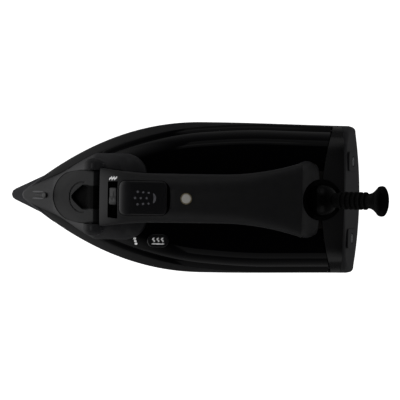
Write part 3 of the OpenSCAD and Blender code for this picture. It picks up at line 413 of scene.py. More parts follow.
def seam_run(x):
    """Inset of the seam on top of the skirt: narrow at the nose, wide on the flare, narrow again aft."""
    return run_in(x, mix(1, seam_in, smooth(cover_x0, cover_x0 + 40, x)), 1)


def plan(x0, x1, inset, bow=4.0, radius=7.0, side_n=110):
    """Closed outline at one level: curved sides, round heel corners and a bowed heel."""
    xc = x1 - bow - radius
    yc = half_in(xc, inset(xc)) - radius
    x = mix(x0, xc, np.linspace(0, 1, side_n) ** 1.5)
    y = np.minimum(half_in(x, inset(x)), tip_half(x - x0)).clip(0)
    a = np.radians(np.linspace(84, 12, 9))
    t = np.linspace(1, 0, 9)
    half = np.concatenate([
        np.stack([x, y], -1),
        np.stack([xc + radius * np.cos(a), yc + radius * np.sin(a)], -1),
        np.stack([x1 - bow * t ** 2, yc * t], -1)])
    return np.concatenate([half, half[-2:0:-1] * [1, -1]])


def skirt_rings():
    """Rings up the outside, over the seam and down the inside; the last ring is the first again."""
    lip = np.radians(np.linspace(-90, 0, 5))
    z = np.concatenate([skirt_z + 1 + np.sin(lip), np.linspace(skirt_z + 1, seam_z - 0.8, 18)[1:],
                        seam_z - 0.8 + 0.8 * np.sin(np.radians([30, 60, 90]))])
    tuck = np.zeros_like(z)
    tuck[:5] = 1 - np.cos(lip)
    tuck[-3:] = 0.8 * (1 - np.cos(np.radians([30, 60, 90])))
    z = np.concatenate([z, z[::-4], z[:1]])
    tuck = np.concatenate([tuck, np.full(len(z) - len(tuck) - 1, wall), tuck[:1]])
    rings = []
    for level, extra in zip(z, tuck):
        low = 0.8 * np.clip((skirt_z + 10 - level) / 10, 0, 1) ** 2
        high = np.clip((level - heel_datum_z) / (seam_z - heel_datum_z), 0, 1) ** 1.25
        def inset(x):
            """Inset of this ring at each place along it."""
            return low + seam_run(x) * high + extra
        x1 = heel_x - low - max(0, level - heel_datum_z) * heel_lean - extra
        rings.append(raised(plan(cover_x0 + low + high + extra * 1.5, x1, inset), level))
    return np.stack(rings)


build("skirt_shell", [(skirt_rings(), True)], skirt_abs, "housing", ["skirt"], sharp=40)

# ---- Water tank: a ledge inside the seam, then a dome that ends at its crown's inset ----
tank_base = tank_low[2]
tank_x0 = tank_low[0]
ledge_in = 4.4
ledge_z = tank_base + 4.6
crown_in = 22.0


def rear_edge(y):
    """Where the tank gives way to the rear band: further back towards the sides."""
    return rear_low[0] + 2 + 10 * (np.abs(y) / 58) ** 2


def tank_inset(x, side, extra):
    """Inset of the tank: well behind the cover at the nose, along the skirt's seam after it."""
    return mix(16 + extra, run_in(x, side + seam_in, side + 1), smooth(nose_x + 70, nose_x + 81, x))


def tank_ring(z, side, extra, inside=0.0):
    """One level of the tank, with a rear end that follows the rear band's front edge."""
    x0 = tank_x0 + extra + inside
    hw = half_in(rear_edge(56.0), side + 1 + inside)
    x = mix(x0, rear_edge(hw) - inside, np.linspace(0, 1, 150) ** 1.25)
    y = np.minimum(half_in(x, tank_inset(x, side, extra) + inside), 4 + 6.5 * np.sqrt(x - x0 + 0.01)).clip(0)
    t = np.linspace(1, 0, 22)[1:]
    half = np.concatenate([np.stack([x, y], -1), np.stack([rear_edge(y[-1] * t) - inside, y[-1] * t], -1)])
    return raised(np.concatenate([half, half[-2:0:-1] * [1, -1]]), z)


def tank_profile(theta):
    """Dome over the ledge: inset and height from an angle, as a superellipse quarter."""
    side = ledge_in + (crown_in - ledge_in) * (1 - np.cos(theta) ** (2 / 2.4))
    return side, ledge_z + (tank_z - ledge_z) * np.sin(theta) ** (2 / 1.9)


def tank_grids():
    """Closed tank: foot, ledge and dome outside, then the inner wall back down to the foot."""
    def set_back(side):
        """How far the tank's front falls back at this inset."""
        return 5 * (side / crown_in) ** 2

    foot = ((0, 0.4), (2.6, 0.4), (3.2, 0.8))
    rings = [tank_ring(tank_base + rise, side, 0) for rise, side in foot]
    rings += [tank_ring(ledge_z - drop, ledge_in - side, 0) for drop, side in ((0.4, 0.6), (0.1, 0.1))]
    for theta in np.radians(np.linspace(0, 90, 30)):
        side, z = tank_profile(theta)
        rings.append(tank_ring(z, side, set_back(side)))
    inside = ((crown_in, tank_z - wall), (15, tank_z - 4), (9, tank_z - 8.5), (5.6, 48.0), (5.0, tank_base))
    inner = [tank_ring(z, side, set_back(side), wall) for side, z in inside]
    rows = rings + [np.broadcast_to(rings[-1].mean(0), rings[-1].shape)]
    bottom = [np.broadcast_to(inner[0].mean(0), inner[0].shape)] + inner + [rings[0]]
    return [(np.stack(rows), True), (np.stack(bottom), True)]


clean_at = (clean_low + clean_high) / 2
clean_l, clean_w = (clean_high - clean_low)[:2]


def prism(loop, z0, z1):
    """Upright prism on a plan loop, to cut with."""
    return [(stack([raised(loop, z0), raised(loop, z1)]), True)]


tank = build("tank_shell_gloss", tank_grids(), tank_pc, "housing", ["tank_shell"], sharp=50)
filler_at = (corners("filler_funnel")[0] + corners("filler_funnel")[1]) / 2
filler_r = 9.0
key_hole = rounded(clean_l + 2 * gap, clean_w + 2 * gap, clean_w / 2 + gap - 0.05)
carve(tank, [prism(key_hole + clean_at[:2], tank_z - 14, tank_z + 20),
             prism(circle(filler_r) + filler_at[:2], tank_z - 12, tank_z + 20)], sharp=50)

# ---- Nose cover with shoulders ----
# Slopes of the cover's crown line, and how far behind the nose the steeper one starts
lean = 0.95
steep = 1.72
lean_l = 28.0


def cover_top(x):
    """Crown line of the cover: a low slope at the nose, then a steeper one up to the handle."""
    d = x - cover_x0
    return seam_z + 2 + lean * np.clip(d, 0, lean_l) + steep * np.clip(d - lean_l, 0, None)


def cover_power(x):
    """How square the cover's arch is: rounder at the nose, squarer at the lid."""
    return mix(2.4, 4.0, smooth(cover_x0 + 17, cover_x0 + 57, x))


def cover_half(x):
    """Half width of the cover: along the seam, then a quarter ellipse closing the shoulders."""
    low = half_in(x, mix(1, seam_in + 0.4, smooth(cover_x0, cover_x0 + 40, x)))
    low = np.minimum(low, tip_half(x - cover_x0 - 0.6))
    tail = np.clip((x - shoulder_x0) / (shoulder_x1 - shoulder_x0), 0, 1)
    inner = handle_half(x) - 1.0
    return np.minimum(low, mix(inner, shoulder_hw, np.sqrt(1 - tail ** 2)))


# Handle: half width at the waist, then the run and gain of its flares at the foot and the front
handle_hw = 19.5
foot_run = 64.5
foot_gain = 10.5
front_run = 44.5
front_gain = 3.0


def handle_half(x):
    """Half width of the handle: slim in the middle, wider at both ends."""
    aft = np.clip(x - (handle_x1 - foot_run), 0, None) / foot_run
    fore = np.clip(handle_x0 + front_run - x, 0, None) / 40
    return handle_hw + foot_gain * aft ** 2 + front_gain * fore ** 2


shoulder_x0 = handle_x0 + 14
shoulder_x1 = handle_x0 + 34


def tank_height(x, y):
    """Height of the tank's dome at a plan place, from how far it lies inside the skirt's edge."""
    slope = (skirt_half(x + 1) - skirt_half(x - 1)) / 2
    inset = (skirt_half(x) - np.abs(y)) / np.sqrt(1 + slope ** 2) - run_in(x, seam_in, 1)
    theta = np.radians(np.linspace(0, 90, 60))
    side, z = tank_profile(theta)
    return np.interp(inset, side, z)


# Away from the hinge lugs the boss round them lies this far down, where it is the cover's lowest level
boss_drop = 60.0


def cover_height(x, y):
    """Height of the cover: a rounded-square arch on the crown line, sinking aft into the tank's dome."""
    aft = smooth(hinge_x + 0.5, shoulder_x0 + 4, x)
    crown = mix(cover_top(np.minimum(x, hinge_x + 1)), tank_z + 15, aft)
    crown = crown - 7 * smooth(shoulder_x0, shoulder_x1, x) - 1.0 * aft
    foot = mix(seam_z + 0.15, tank_height(x, cover_half(x)) - 0.4, smooth(hinge_x + 3, hinge_x + 16, x))
    across = np.clip(np.abs(y) / np.maximum(cover_half(x), 0.05), 0, 1)
    n = mix(cover_power(x), 2.6, aft)
    skin = foot + (crown - foot) * (1 - across ** n) ** (1 / n)
    lug = np.hypot((x - hinge_x) / 8, np.clip(np.abs(y) - door_hw - 4.5, 0, None) / 5)
    boss = hinge_z + 3.9 * np.sqrt(np.clip(1 - lug ** 2, 0, None))
    boss = boss - boss_drop * (lug >= 1) - boss_drop * (np.abs(y) < door_hw)
    return np.maximum(skin, boss)


def door_edge(count):
    """Right half of the lid's plan from its tip to its rear: half an ellipse, then a straight side."""
    a = np.radians(np.linspace(0, 90, count // 2))
    arc = np.stack([door_x0 + door_nose_l * (1 - np.cos(a)), door_hw * np.sin(a)], -1)
    x = np.linspace(door_x0 + door_nose_l, handle_x0 - 2.2, count - len(arc) + 1)[1:]
    return np.concatenate([arc, np.stack([x, np.full(len(x), door_hw)], -1)])


def horseshoe():
    """Cover grid: rows run round the lid from one shoulder to the other, columns from lid to skirt."""
    fore, aft = 64, 30
    inner = door_edge(fore)
    x = np.linspace(handle_x0 - 2.0, shoulder_x1 - 0.6, aft)
    inner = np.concatenate([inner, np.stack([x, handle_half(x) + 0.3], -1)])
    tip = cover_x0 + 0.6
    t = np.concatenate([mix(tip, inner[fore - 1, 0], np.linspace(0, 1, fore) ** 1.35), x])
    outer = np.stack([t, cover_half(t)], -1)
    v = np.concatenate([[0, 0.006, 0.02], np.linspace(0.05, 0.93, 24), [0.95, 0.965, 0.98, 0.99, 0.996, 1]])
    flat = inner[:, None] + (outer - inner)[:, None] * v[None, :, None]
    z = cover_height(flat[..., 0], flat[..., 1])
    z[:, 0] -= 0.5
    z[:, 1] -= 0.15
    top = np.concatenate([flat, z[..., None]], -1)
    drop = top[:, :1] - [0, 0, 7]
    drop[:, 0, 2] = np.minimum(drop[:, 0, 2], np.where(drop[:, 0, 0] > handle_x0 - 3, tank_z + 14, 1e3))
    half = np.concatenate([drop, top], 1)
    whole = np.concatenate([(half * [1, -1, 1])[::-1], half[1:]])
    inner_skin = whole.copy()
    inner_skin[..., 2] = np.maximum(whole[..., 2] - 2.2, seam_z + 0.2)
    inner_skin[:, 0, :2] = whole[:, 2, :2]
    inner_skin[:, 0, 2] = whole[:, 0, 2] + 0.02
    return walled(whole, inner_skin)


build("nose_cover_shell", horseshoe(), cover_abs, "housing", ["nose_cover"], sharp=45)


def saddle():
    """Saddle that closes the shoulders round the pillar, under the handle: a sheet falling aft."""
    x = np.linspace(hinge_x + 2, shoulder_x1 - 2, 40)[:, None]
    s = np.linspace(-1, 1, 41)[None, :]
    y = s * (handle_half(x) + 0.8)
    z = tank_z + 14 - 9 * smooth(shoulder_x0 + 2, shoulder_x1, x) - 2 * np.abs(s) ** 4 + 0 * y
    top = np.stack([x + 0 * y, y, z], -1)
    return walled(top, top - [0, 0, 2.5])


build("shoulder_saddle", saddle(), cover_abs, "housing", ())
pillar_l = pillar_high[0] - pillar_low[0]
pillar_w = pillar_high[1] - pillar_low[1]
pillar_mid = (pillar_low + pillar_high) / 2

# ---- Filling lid ----
wedge_tip = door_x0 + 17.5
groove_at = np.array([hinge_x - 9.0, -0.6])
groove_r = 12.2
tail_x = handle_x0 - 2.4


def wedge_depth(x, y):
    """1 inside the finger well, which widens from its tip to the rear, and 0 outside."""
    half = 9.4 * np.clip((x - wedge_tip) / 10, 0, 1) ** 0.75
    return smooth(0.5, -0.5, np.abs(y + 0.4) - half) * smooth(wedge_tip - 0.5, wedge_tip + 0.5, x)


def well_floor(x):
    """Depth of the finger well: deep in the middle of the lid, shallow over the hinge pin."""
    return mix(7.5, 2.4, smooth(hinge_x - 7, hinge_x - 2.5, x))


def door_height(x, y):
    """Lid height: the cover's surface, a flatter front facet, a cut groove, the well and a rolled tail."""
    roll = np.clip((x - hinge_x) / (tail_x - hinge_x), 0, 1)
    z = cover_height(np.minimum(x, hinge_x), y) + 0.15 - 1.6 * roll ** 2 + 0.6 * roll
    rim = np.hypot((x - door_x0 - 30) / 30, y / door_hw)
    z = z - 1.1 * smooth(0.70, 1.0, rim) * smooth(door_x0 + 24, door_x0 + 14, x)
    around = np.arctan2(y - groove_at[1], groove_at[0] - x)
    ring = np.abs(np.hypot(x - groove_at[0], y - groove_at[1]) - groove_r)
    z = z - 1.3 * smooth(0.75, 0.3, ring) * smooth(1.75, 1.65, np.abs(around))
    return z - well_floor(x) * wedge_depth(x, y)


def door_grid():
    """Lid grid: rows from tip to tail, columns across, drawn in to the lid's outline at each row."""
    nose_l = door_nose_l - gap
    x = np.concatenate([door_x0 + gap + nose_l * (1 - np.cos(np.linspace(0, np.pi / 2, 44))),
                        np.linspace(door_x0 + door_nose_l, tail_x, 48)[1:]])[:, None]
    ahead = np.clip((door_x0 + door_nose_l - x) / nose_l, 0, 1)
    half = (door_hw - gap) * np.sqrt(1 - ahead ** 2)
    s = np.linspace(-1, 1, 109)[None, :]
    y = half * (np.sin(s * np.pi / 2) * 0.35 + s * 0.65)
    xx = x + 0 * y
    z = door_height(xx, y)
    z[1:, [0, -1]] -= 0.5
    return np.stack([xx, y, z], -1)


def lid_shell():
    """Lid with its underside, which clears the hinge pin."""
    top = door_grid()
    below = top.copy()
    below[..., 2] = np.minimum(top[..., 2] - 2.2, np.where(top[..., 0] > hinge_x, hinge_z - 3.5, 1e3))
    return walled(top, below)


build("filling_lid", lid_shell(), door_abs, "filling_door", ["fill_door"], sharp=40)


def well_lining():
    """Black lining laid in the lid's finger well, following its floor: painted shade that darkens the well.
    """
    x = np.linspace(wedge_tip + 0.2, tail_x - 0.3, 60)[:, None]
    half = 9.0 * np.clip((x - wedge_tip) / 10, 0, 1) ** 0.75
    y = half * np.linspace(-1, 1, 41)[None, :] - 0.4
    z = cover_height(np.minimum(x + 0 * y, hinge_x), y) - well_floor(x) + 0.6
    roll = np.clip((x - hinge_x) / (tail_x - hinge_x), 0, 1)
    z = z - 1.6 * roll ** 2 + 0.6 * roll
    top = np.stack([x + 0 * y, y, z], -1)
    return walled(top, top - [0, 0, 0.6])


# Dead-black lining: painted shade in the finger well
build("lid_well_painted_shade", well_lining(), well_shade_abs, "filling_door", ())


def lid_lugs():
    """Hinge barrels on the cover at each side of the lid, with domed ends."""
    grids = []
    for side in (-1, 1):
        profile = [(0, 0), (0, 3.6), (0.4, 4.1), (1.0, 4.3), (4.2, 4.3), (5.2, 3.9), (5.8, 3.0), (6, 0)]
        origin = [hinge_x, side * (door_hw + 0.6), hinge_z]
        grids.append((lathe(profile, origin, [0, side, 0], 48), True))
    return grids


build("lid_hinge_lugs", lid_lugs(), cover_abs, "housing", ())


def chevron():
    """Raised bead round the nose: a V with a round apex, widest in front, thinning along the sides; its
    light colour is a painted highlight on the cover's front edge.
    """
    u = np.linspace(-1, 1, 161)
    d = 27.0 * np.abs(u) ** 1.6
    x = cover_x0 + d
    half = np.minimum(half_in(x, 0.6), tip_half(d, 5.0)) * np.sign(u)
    along = np.stack([x, half], -1)
    step = np.gradient(along, axis=0)
    step /= np.linalg.norm(step, axis=1)[:, None]
    normal = np.stack([step[:, 1], -step[:, 0]], -1)
    width = 1.35 * (1 - np.abs(u) ** 3) + 0.15
    a = np.linspace(0, 2 * math.pi, 14, endpoint=False)
    flat = along[:, None] - normal[:, None] * (width[:, None, None] * (1 - np.cos(a)[None, :, None]) * -1)
    z = seam_z + 0.6 + lean * 0.6 * d[:, None] * 0.12 + 1.0 * np.sin(a)[None, :] * width[:, None] / 1.5
    return [(stack(np.concatenate([flat, z[..., None]], -1)), True)]


# Light bead: painted highlight along the nose's front edge
build("nose_highlight_bead", chevron(), edge_highlight_abs, "housing", ())


def spray_highlight_rails():
    """Two rails beside the spray jet, running up the nose slope, with rounded tops, in a light colour as
    painted highlights on the channel's edges.
    """
    grids = []
    for side in (-1, 1):
        x = np.linspace(cover_x0 + 9.5, cover_x0 + 19.5, 24)
        y = np.full_like(x, side * 2.75)
        a = np.linspace(0, 2 * math.pi, 12, endpoint=False)
        r = 0.75 * np.sqrt(np.sin(np.linspace(0.15, math.pi - 0.15, 24)))
        ring = np.stack([np.broadcast_to(x[:, None], (24, 12)), y[:, None] + r[:, None] * np.cos(a),
                         cover_height(x, y)[:, None] + 0.3 + r[:, None] * np.sin(a)], -1)
        grids.append((stack(ring), True))
    return grids


# Light rails: painted highlights along the spray channel's edges
build("spray_channel_highlight_rails", spray_highlight_rails(), edge_highlight_abs, "housing", ())


def spray_jet():
    """Round jet body lying in the channel: a turned profile with a small orifice dimple, with a rod along
    the groove; both darker, painted shade of the groove.
    """
    slope = math.atan(lean)
    axis = [math.cos(slope + math.pi), 0, -math.sin(slope)]
    x = cover_x0 + 21.2
    origin = [x, 0, float(cover_height(np.array(x), np.array(0.0))) - 0.4]
    profile = [(0, 0), (0, 2.3), (1.2, 2.5), (1.9, 2.2), (2.2, 1.4), (2.25, 0)]
    knob = lathe(profile, origin, [-0.69, 0, 0.72], 48)
    channel = lathe([(0, 0), (0, 1.0), (10.2, 1.0), (10.6, 0.7), (10.2, 0.35), (9.4, 0.3), (9.4, 0)],
                    [x - 1, 0, origin[2] - 0.1], axis, 32)
    return [(knob, True), (channel, True)]


# Dark jet and rod: painted shade in the spray groove
build("spray_jet", spray_jet(), groove_shade_abs, "housing", ["spray_nozzle"])


# ---- Handle ----
def handle_top_z(x):
    """Crown line of the handle: level in the middle, falling to the foot and sharply at the front."""
    return (handle_z - 23 * (np.clip(x - (handle_x1 - 109.5), 0, None) / 109.5) ** 1.7
            - 14 * (np.clip(handle_x0 + 24.5 - x, 0, None) / 24.5) ** 2)


def handle_low_z(x):
    """Underside of the grip, falling a little at the foot."""
    return grip_z - 5 * smooth(handle_x1 - 35, handle_x1, x)


def handle_point(x, a, inside=0.0):
    """Point on the handle's section, a rounded square of power 2.6, at angle a."""
    top, low = handle_top_z(x), handle_low_z(x)
    y = (handle_half(x) - inside) * bend(np.cos(a), 2.6)
    z = (top + low) / 2 + ((top - low) / 2 - inside) * bend(np.sin(a), 2.6)
    return np.stack(np.broadcast_arrays(x, y, z), -1)


button_x0, button_x1 = key_low[0], key_high[0]
button_w = key_high[1] - key_low[1]
scoop_x1 = button_x1 + 7.5


def handle_top_grid(inside):
    """Upper half of the handle, from its lip over the lid to the foot, with the ramp behind the key."""
    x = np.linspace(handle_x0 - 2.0 + inside * 0.9, handle_x1 - 0.02, 170)[:, None]
    a = np.linspace(0, np.pi, 101)[None, :]
    grid = handle_point(x, a, inside)
    ramp = smooth(8.2, 7.2, np.abs(grid[..., 1])) * smooth(scoop_x1, button_x1, grid[..., 0])
    ramp = ramp * (grid[..., 0] > button_x1 - 6)
    grid[..., 2] -= 1.6 * ramp * (inside == 0)
    return grid


def half_shell(outer, inner):
    """Half tube with a wall across its front end: skins, front walls inside and out, and the rims."""
    centre = np.broadcast_to([outer[0, 0, 0], 0, outer[0, 0, 2]], outer[0].shape)
    inner_centre = np.broadcast_to([inner[0, 0, 0], 0, inner[0, 0, 2]], outer[0].shape)
    bottom = np.stack([np.stack([outer[0, 0], inner[0, 0]]), np.stack([centre[0], inner_centre[0]]),
                       np.stack([outer[0, -1], inner[0, -1]])])
    sides = [(np.stack([outer[:, k], inner[:, k]], 1), False) for k in (0, -1)]
    return [(outer, False), (inner, False), (np.stack([outer[0], centre]), False),
            (np.stack([inner[0], inner_centre]), False), (bottom, False),
            (np.stack([outer[-1], inner[-1]]), False), *sides]


upper_skins = half_shell(handle_top_grid(0.0), handle_top_grid(wall))
top = build("handle_upper_shell", upper_skins, handle_abs, "housing", ["handle_top"],
            sharp=38)
key_mid = np.array([(button_x0 + button_x1) / 2, 0.0])
key_pocket = rounded(button_x1 - button_x0 + 2 * gap, button_w + 2 * gap, 5.4, 128)
key_pocket[:, 0] += 2.3 * smooth(0.7, 1.0, key_pocket[:, 0] / key_pocket[:, 0].max()) * (
    1 - (np.abs(key_pocket[:, 1]) / key_pocket[:, 1].max()) ** 2)
key_pocket = key_pocket + key_mid
lamp_at = ((lens_low + lens_high) / 2)[:2]
lamp_r = (lens_high[0] - lens_low[0]) / 2
slot_x0, slot_x1 = slider_low[0] - 0.9, button_x0 - 1.2
slot = np.array([[slot_x0, -15.8], [slot_x1, -16.6], [slot_x1, 12.9], [slot_x0, 12.6]])
carve(top, [prism(key_pocket, handle_z - 14, handle_z + 20),
            prism(circle(lamp_r + 0.5) + lamp_at, handle_z - 14, handle_z + 20),
            prism(slot, grip_z + 14, handle_z + 20)], sharp=38)


def key_height(x, y):
    """Top of the spray key: above the handle's crown line and slightly domed across."""
    return handle_top_z(x) + 1.25 + 0.35 * (1 - (y / (button_w / 2)) ** 2)


def key_crown():
    """Spray key: straight sides, a rounded rim and a crowned top that follows the handle."""
    rows = []
    length = button_x1 - button_x0
    steps = [(0, -9.0), (0, -1.6), (0.12, -0.9), (0.4, -0.4), (0.85, -0.12), (1.4, 0)]
    steps += [(inset, 0.02) for inset in (2.6, 4.5, 7, 9.5, 12)]
    for inset, lift in steps:
        loop = rounded(length - 2 * inset, button_w - 2 * inset, max(5 - inset, 0.8), 128) + key_mid
        z = key_height(loop[:, 0], loop[:, 1]) + lift if lift > -5 else np.full(len(loop), key_low[2] + 3)
        rows.append(raised(loop, z))
    for t in (0.66, 0.33):
        inner = mix(np.array([*key_mid, 0]), rows[-1] if t > 0.5 else rows[-2], t)
        inner[:, 2] = key_height(inner[:, 0], inner[:, 1]) + 0.02
        rows.append(inner)
    peak = np.broadcast_to([*key_mid, float(key_height(key_mid[0], key_mid[1])) + 0.02], rows[0].shape)
    rows.append(peak)
    return [(np.concatenate([np.broadcast_to(rows[0].mean(0), rows[0].shape)[None], np.stack(rows)]), True)]


build("spray_key_cap", key_crown(), key_abs, "spray_key", ["spray_button"], sharp=40)


def discs(places, radii, height, lift=0.1):
    """Small raised discs at plan places on a height field."""
    grids = []
    for (px, py), r in zip(places, radii):
        grid = np.stack([raised(circle(r * share, 20) + [px, py], 0) for share in (0, 1, 1, 0.8, 0)])
        level = height(grid[..., 0], grid[..., 1])
        grid[..., 2] = level + np.array([-0.3, -0.3, lift * 0.6, lift, lift])[:, None]
        grids.append((grid, True))
    return grids


def stroke(path, half, height, lift=0.1):
    """Flat raised stroke along a plan path; half is its half width along the way."""
    path = np.asarray(path, float)
    step = np.gradient(path, axis=0)
    step /= np.linalg.norm(step, axis=1)[:, None]
    side = np.stack([-step[:, 1], step[:, 0]], -1) * np.broadcast_to(half, len(path))[:, None]
    across = np.array([-1, -1, -0.8, 0.8, 1, 1])
    flat = path[:, None] + side[:, None] * across[None, :, None]
    z = height(flat[..., 0], flat[..., 1]) + np.array([-0.3, lift * 0.6, lift, lift, lift * 0.6, -0.3])
    return [(stack(np.concatenate([flat, z[..., None]], -1)), True)]


def spray_icon():
    """Generic spray mark: three rows of drops fanning from a bent jet line."""
    x0 = button_x0 + 20.3
    drops = [(x0 - 5.4 + 4.3 * k, row * (4.5 - 0.35 * k) + 0.4 * row) for row in (-1, 1) for k in range(3)]
    drops += [(x0 - 7.4 + 4.5 * k, 0.0) for k in range(3)]
    marks = discs(drops, [0.95 - 0.06 * (k % 3) for k in range(9)], key_height)
    a = np.linspace(-1, 1, 21)
    bow = np.stack([x0 + 7.8 - 1.2 * (1 - a ** 2) * -1 - 1.0, 3.9 * a], -1)
    return marks + stroke(bow, 0.95 * np.sqrt(1.02 - a ** 2), key_height)


build("spray_key_mark", spray_icon(), ink_grey, "spray_key", ())


def slant_mark():
    """Generic steam mark in front of the key: three slanting dashes beside one another."""
    grids = []
    for k in range(3):
        t = np.linspace(0, 1, 14)
        along = slider_low[0] + 0.2 + 2.0 * k + 2.0 * t
        path = np.stack([along, 13.6 + 3.2 * t + 0.5 * np.sin(6.28 * t)], -1)
        grids += stroke(path, 0.62 * np.sqrt(np.clip(1.02 - (2 * t - 1) ** 4, 0.02, None)), top_height)
    return grids


def top_height(x, y):
    """Height of the handle's upper surface at a plan place."""
    across = np.clip(np.abs(y) / handle_half(x), 0, 0.999)
    top, low = handle_top_z(x), handle_low_z(x)
    return (top + low) / 2 + (top - low) / 2 * (1 - across ** 2.6) ** (1 / 2.6)


build("steam_mark", slant_mark(), ink_white, "housing", ())


# The knob spans what its travel leaves of the slot
slider_l = 14.0
slider_mid_y = 0.95


def slider_knob():
    """Steam slider: a rounded bar across the slot with a raised finger rib in the middle."""
    low, high = slider_low, slider_high
    x_mid = (low[0] + high[0]) / 2
    width = 6.6
    rows = []
    for inset, drop in ((0, 9.0), (0, 1.4), (0.15, 0.9), (0.5, 0.55), (1.0, 0.4), (1.9, 0.4), (2.6, 0.4)):
        loop = rounded(width - 2 * inset, slider_l - 2 * inset, max(1.4 - inset, 0.25), 120)
        z = handle_top_z(loop[:, 0] + x_mid) - drop
        rib = 1.3 * np.exp(-((loop[:, 1] + 3.4) / 3.0) ** 4) * (inset > 0.3)
        rows.append(raised(loop + [x_mid, slider_mid_y], z - 0.6 + rib))
    return [(stack(rows), True)]


build("steam_slider_knob", slider_knob(), key_abs, "steam_control", ["steam_slider"], sharp=40)


def lamp_dome():
    """Lamp lens: a low dome with a rounded edge."""
    base = lens_low[2]
    r = lamp_r
    z = handle_z - base
    profile = [(0, 0), (0, r - 1), (z - 1.0, r - 1), (z - 1.0, r - 0.35), (z + 0.1, r - 0.35),
               (z + 0.3, r - 0.5), (z + 0.42, r - 0.9), (z + 0.55, r * 0.5), (z + 0.6, 0)]
    return [(lathe(profile, [*lamp_at, base], [0, 0, 1]), True)]


def lamp_bezel():
    """Thin ring round the lens, rolled over at its top."""
    profile = [(0, -0.3), (2.1, -0.3), (2.35, -0.1), (2.4, 0.25), (2.2, 0.45), (0, 0.45), (0, -0.3)]
    profile = np.array(profile) + [0, lamp_r]
    return [(lathe(profile, [*lamp_at, handle_z - 2.35], [0, 0, 1]), True)]


build("lamp_lens_dome", lamp_dome(), lens_pc, "housing", ["lamp_lens"])
build("lamp_bezel_ring", lamp_bezel(), lens_ring, "housing", ())


def grip_grid(inside):
    """Lower half of the handle's section, from its front to the foot."""
    x = np.linspace(handle_x0 + inside * 0.9, handle_x1 - 0.02, 150)[:, None]
    return handle_point(x, np.linspace(np.pi, 2 * np.pi, 81)[None, :], inside)


lower_skins = half_shell(grip_grid(0.0), grip_grid(wall))
grip = build("handle_lower_grip", lower_skins, grip_touch, "housing", ["handle_grip"],
             sharp=38)
trigger_at = np.array([pillar_high[0] + 12.5, 0.0])
carve(grip, [prism(rounded(12.8, 8.8, 1.0) + trigger_at, grip_z - 8, grip_z + 8)], sharp=38)


def pillar_tube():
    """Front pillar: rounded rectangle drawn up to the handle, waisted in the middle."""
    z = np.linspace(pillar_low[2], grip_z + 3.5, 24)
    rows = []
    for level in z:
        waist = math.sin(math.pi * (level - z[0]) / (z[-1] - z[0]))
        flare = 1.6 * smooth(grip_z - 12, grip_z + 3, level) - 0.8 * waist
        loop = rounded(pillar_l - 1.2 + flare * 0.5, pillar_w - 1.6 + flare, 6.5)
        rows.append(raised(loop + pillar_mid[:2], level))
    bore = rounded(pillar_l - 6.5, pillar_w - 6.5, 4.5) + pillar_mid[:2]
    inner = [raised(bore, level) for level in z[::-6]]
    return [(np.stack(rows + inner + rows[:1]), True)]


build("front_pillar_tube", pillar_tube(), cover_abs, "housing", ["front_pillar"])

# ---- Rear leg ----
def foot_arch(t, inside):
    """Arch of the handle's foot at t along it: a rounded square that falls and narrows aft."""
    x0, x1 = handle_x1 + 0.12, rear_low[0] - 0.15
    x = mix(x0, x1, t)
    base = tank_z + 0.1
    top_z = mix(handle_top_z(handle_x1), 98.0, smooth(-0.2, 1, t))
    hw = handle_half(handle_x1) + 1.7 * np.sin(np.pi * np.clip(t * 1.25, 0, 1)) - 1.2 * t ** 4
    inside = inside + 2.6 * (1 - np.sqrt(1 - np.clip((t - 0.8) / 0.2, 0, 0.995) ** 2))
    a = np.linspace(0, np.pi, 73)[None, :]
    return np.stack(np.broadcast_arrays(
        x, (hw - inside) * bend(np.cos(a), 3), base + (top_z - base - inside) * bend(np.sin(a), 3)), -1)


def foot_shell():
    """The handle's foot: arches from the cross seam to its rounded rear end, closed below."""
    t = np.linspace(0, 1, 22)[:, None]
    outer = foot_arch(t, 0)
    rim = foot_arch(np.ones((1, 1)), 0.8)
    rim[..., 0] += 0.12
    outer = np.concatenate([outer, rim])
    base = tank_z + 0.1
    loops = np.concatenate([outer, np.stack([mix(outer[:, -1], outer[:, 0], t) * [1, 1, 0] + [0, 0, base]
                                             for t in (0.25, 0.5, 0.75)], 1)], 1)
    return [(stack(loops), True)]


foot = build("handle_foot_shell", foot_shell(), handle_abs, "housing", ["handle_foot"],
             sharp=40)
carve(foot, [prism(circle(socket_r) + ball_at[:2], ball_at[2] - 14, ball_at[2] + 50)], sharp=40)


# ---- Rear housing and heel ----
def rear_profile(x):
    """Side and crown of the rear band at each x, with the crease between them."""
    hw = half_in(x, 1.0)
    crown = mix(rear_high[2], rear_high[2] - 8, np.clip((x - rear_low[0]) / (heel_x0 - rear_low[0]), 0, 1.3))
    side_z = tank_z + 2
    side = [(hw, tank_base), (hw - 0.8, seam_z + 15), (hw - 4, tank_z - 10), (hw - 9, tank_z - 3),
            (hw - 14, side_z)]
    over = [side[-1]]
    shoulder = ((1, 0.3), (0.62, 0.72), (0.3, 0.95))
    over += [((hw - 24) * share, mix(side_z, crown, rise)) for share, rise in shoulder]
    over += [(0 * hw, crown)]

    def curve(points, steps):
        """Faired curve through (y, z) points at every x."""
        return fair(np.stack([np.stack(np.broadcast_arrays(x, y, z), -1) for y, z in points], -2), steps)
    half = np.concatenate([curve(side, 6)[..., :-1, :], curve(over, 7)], -2)
    return np.concatenate([half, half[..., -2::-1, :] * [1, -1, 1]], -2)


def rear_shell():
    """Rear band: its section carried from the tank's edge to the heel, with an inner skin."""
    t = np.linspace(0, 1, 20)
    rows = rear_profile(mix(rear_low[0], heel_x0 - 0.05, t))
    start = rear_edge(rows[..., 1])
    rows[..., 0] = mix(start + 0.3, heel_x0 - 0.05, t[:, None])
    inner = rows * [1, (half_w - wall) / half_w, 1] - [0, 0, wall]
    inner[..., 2] = np.maximum(inner[..., 2], tank_base)
    return walled(rows, inner)


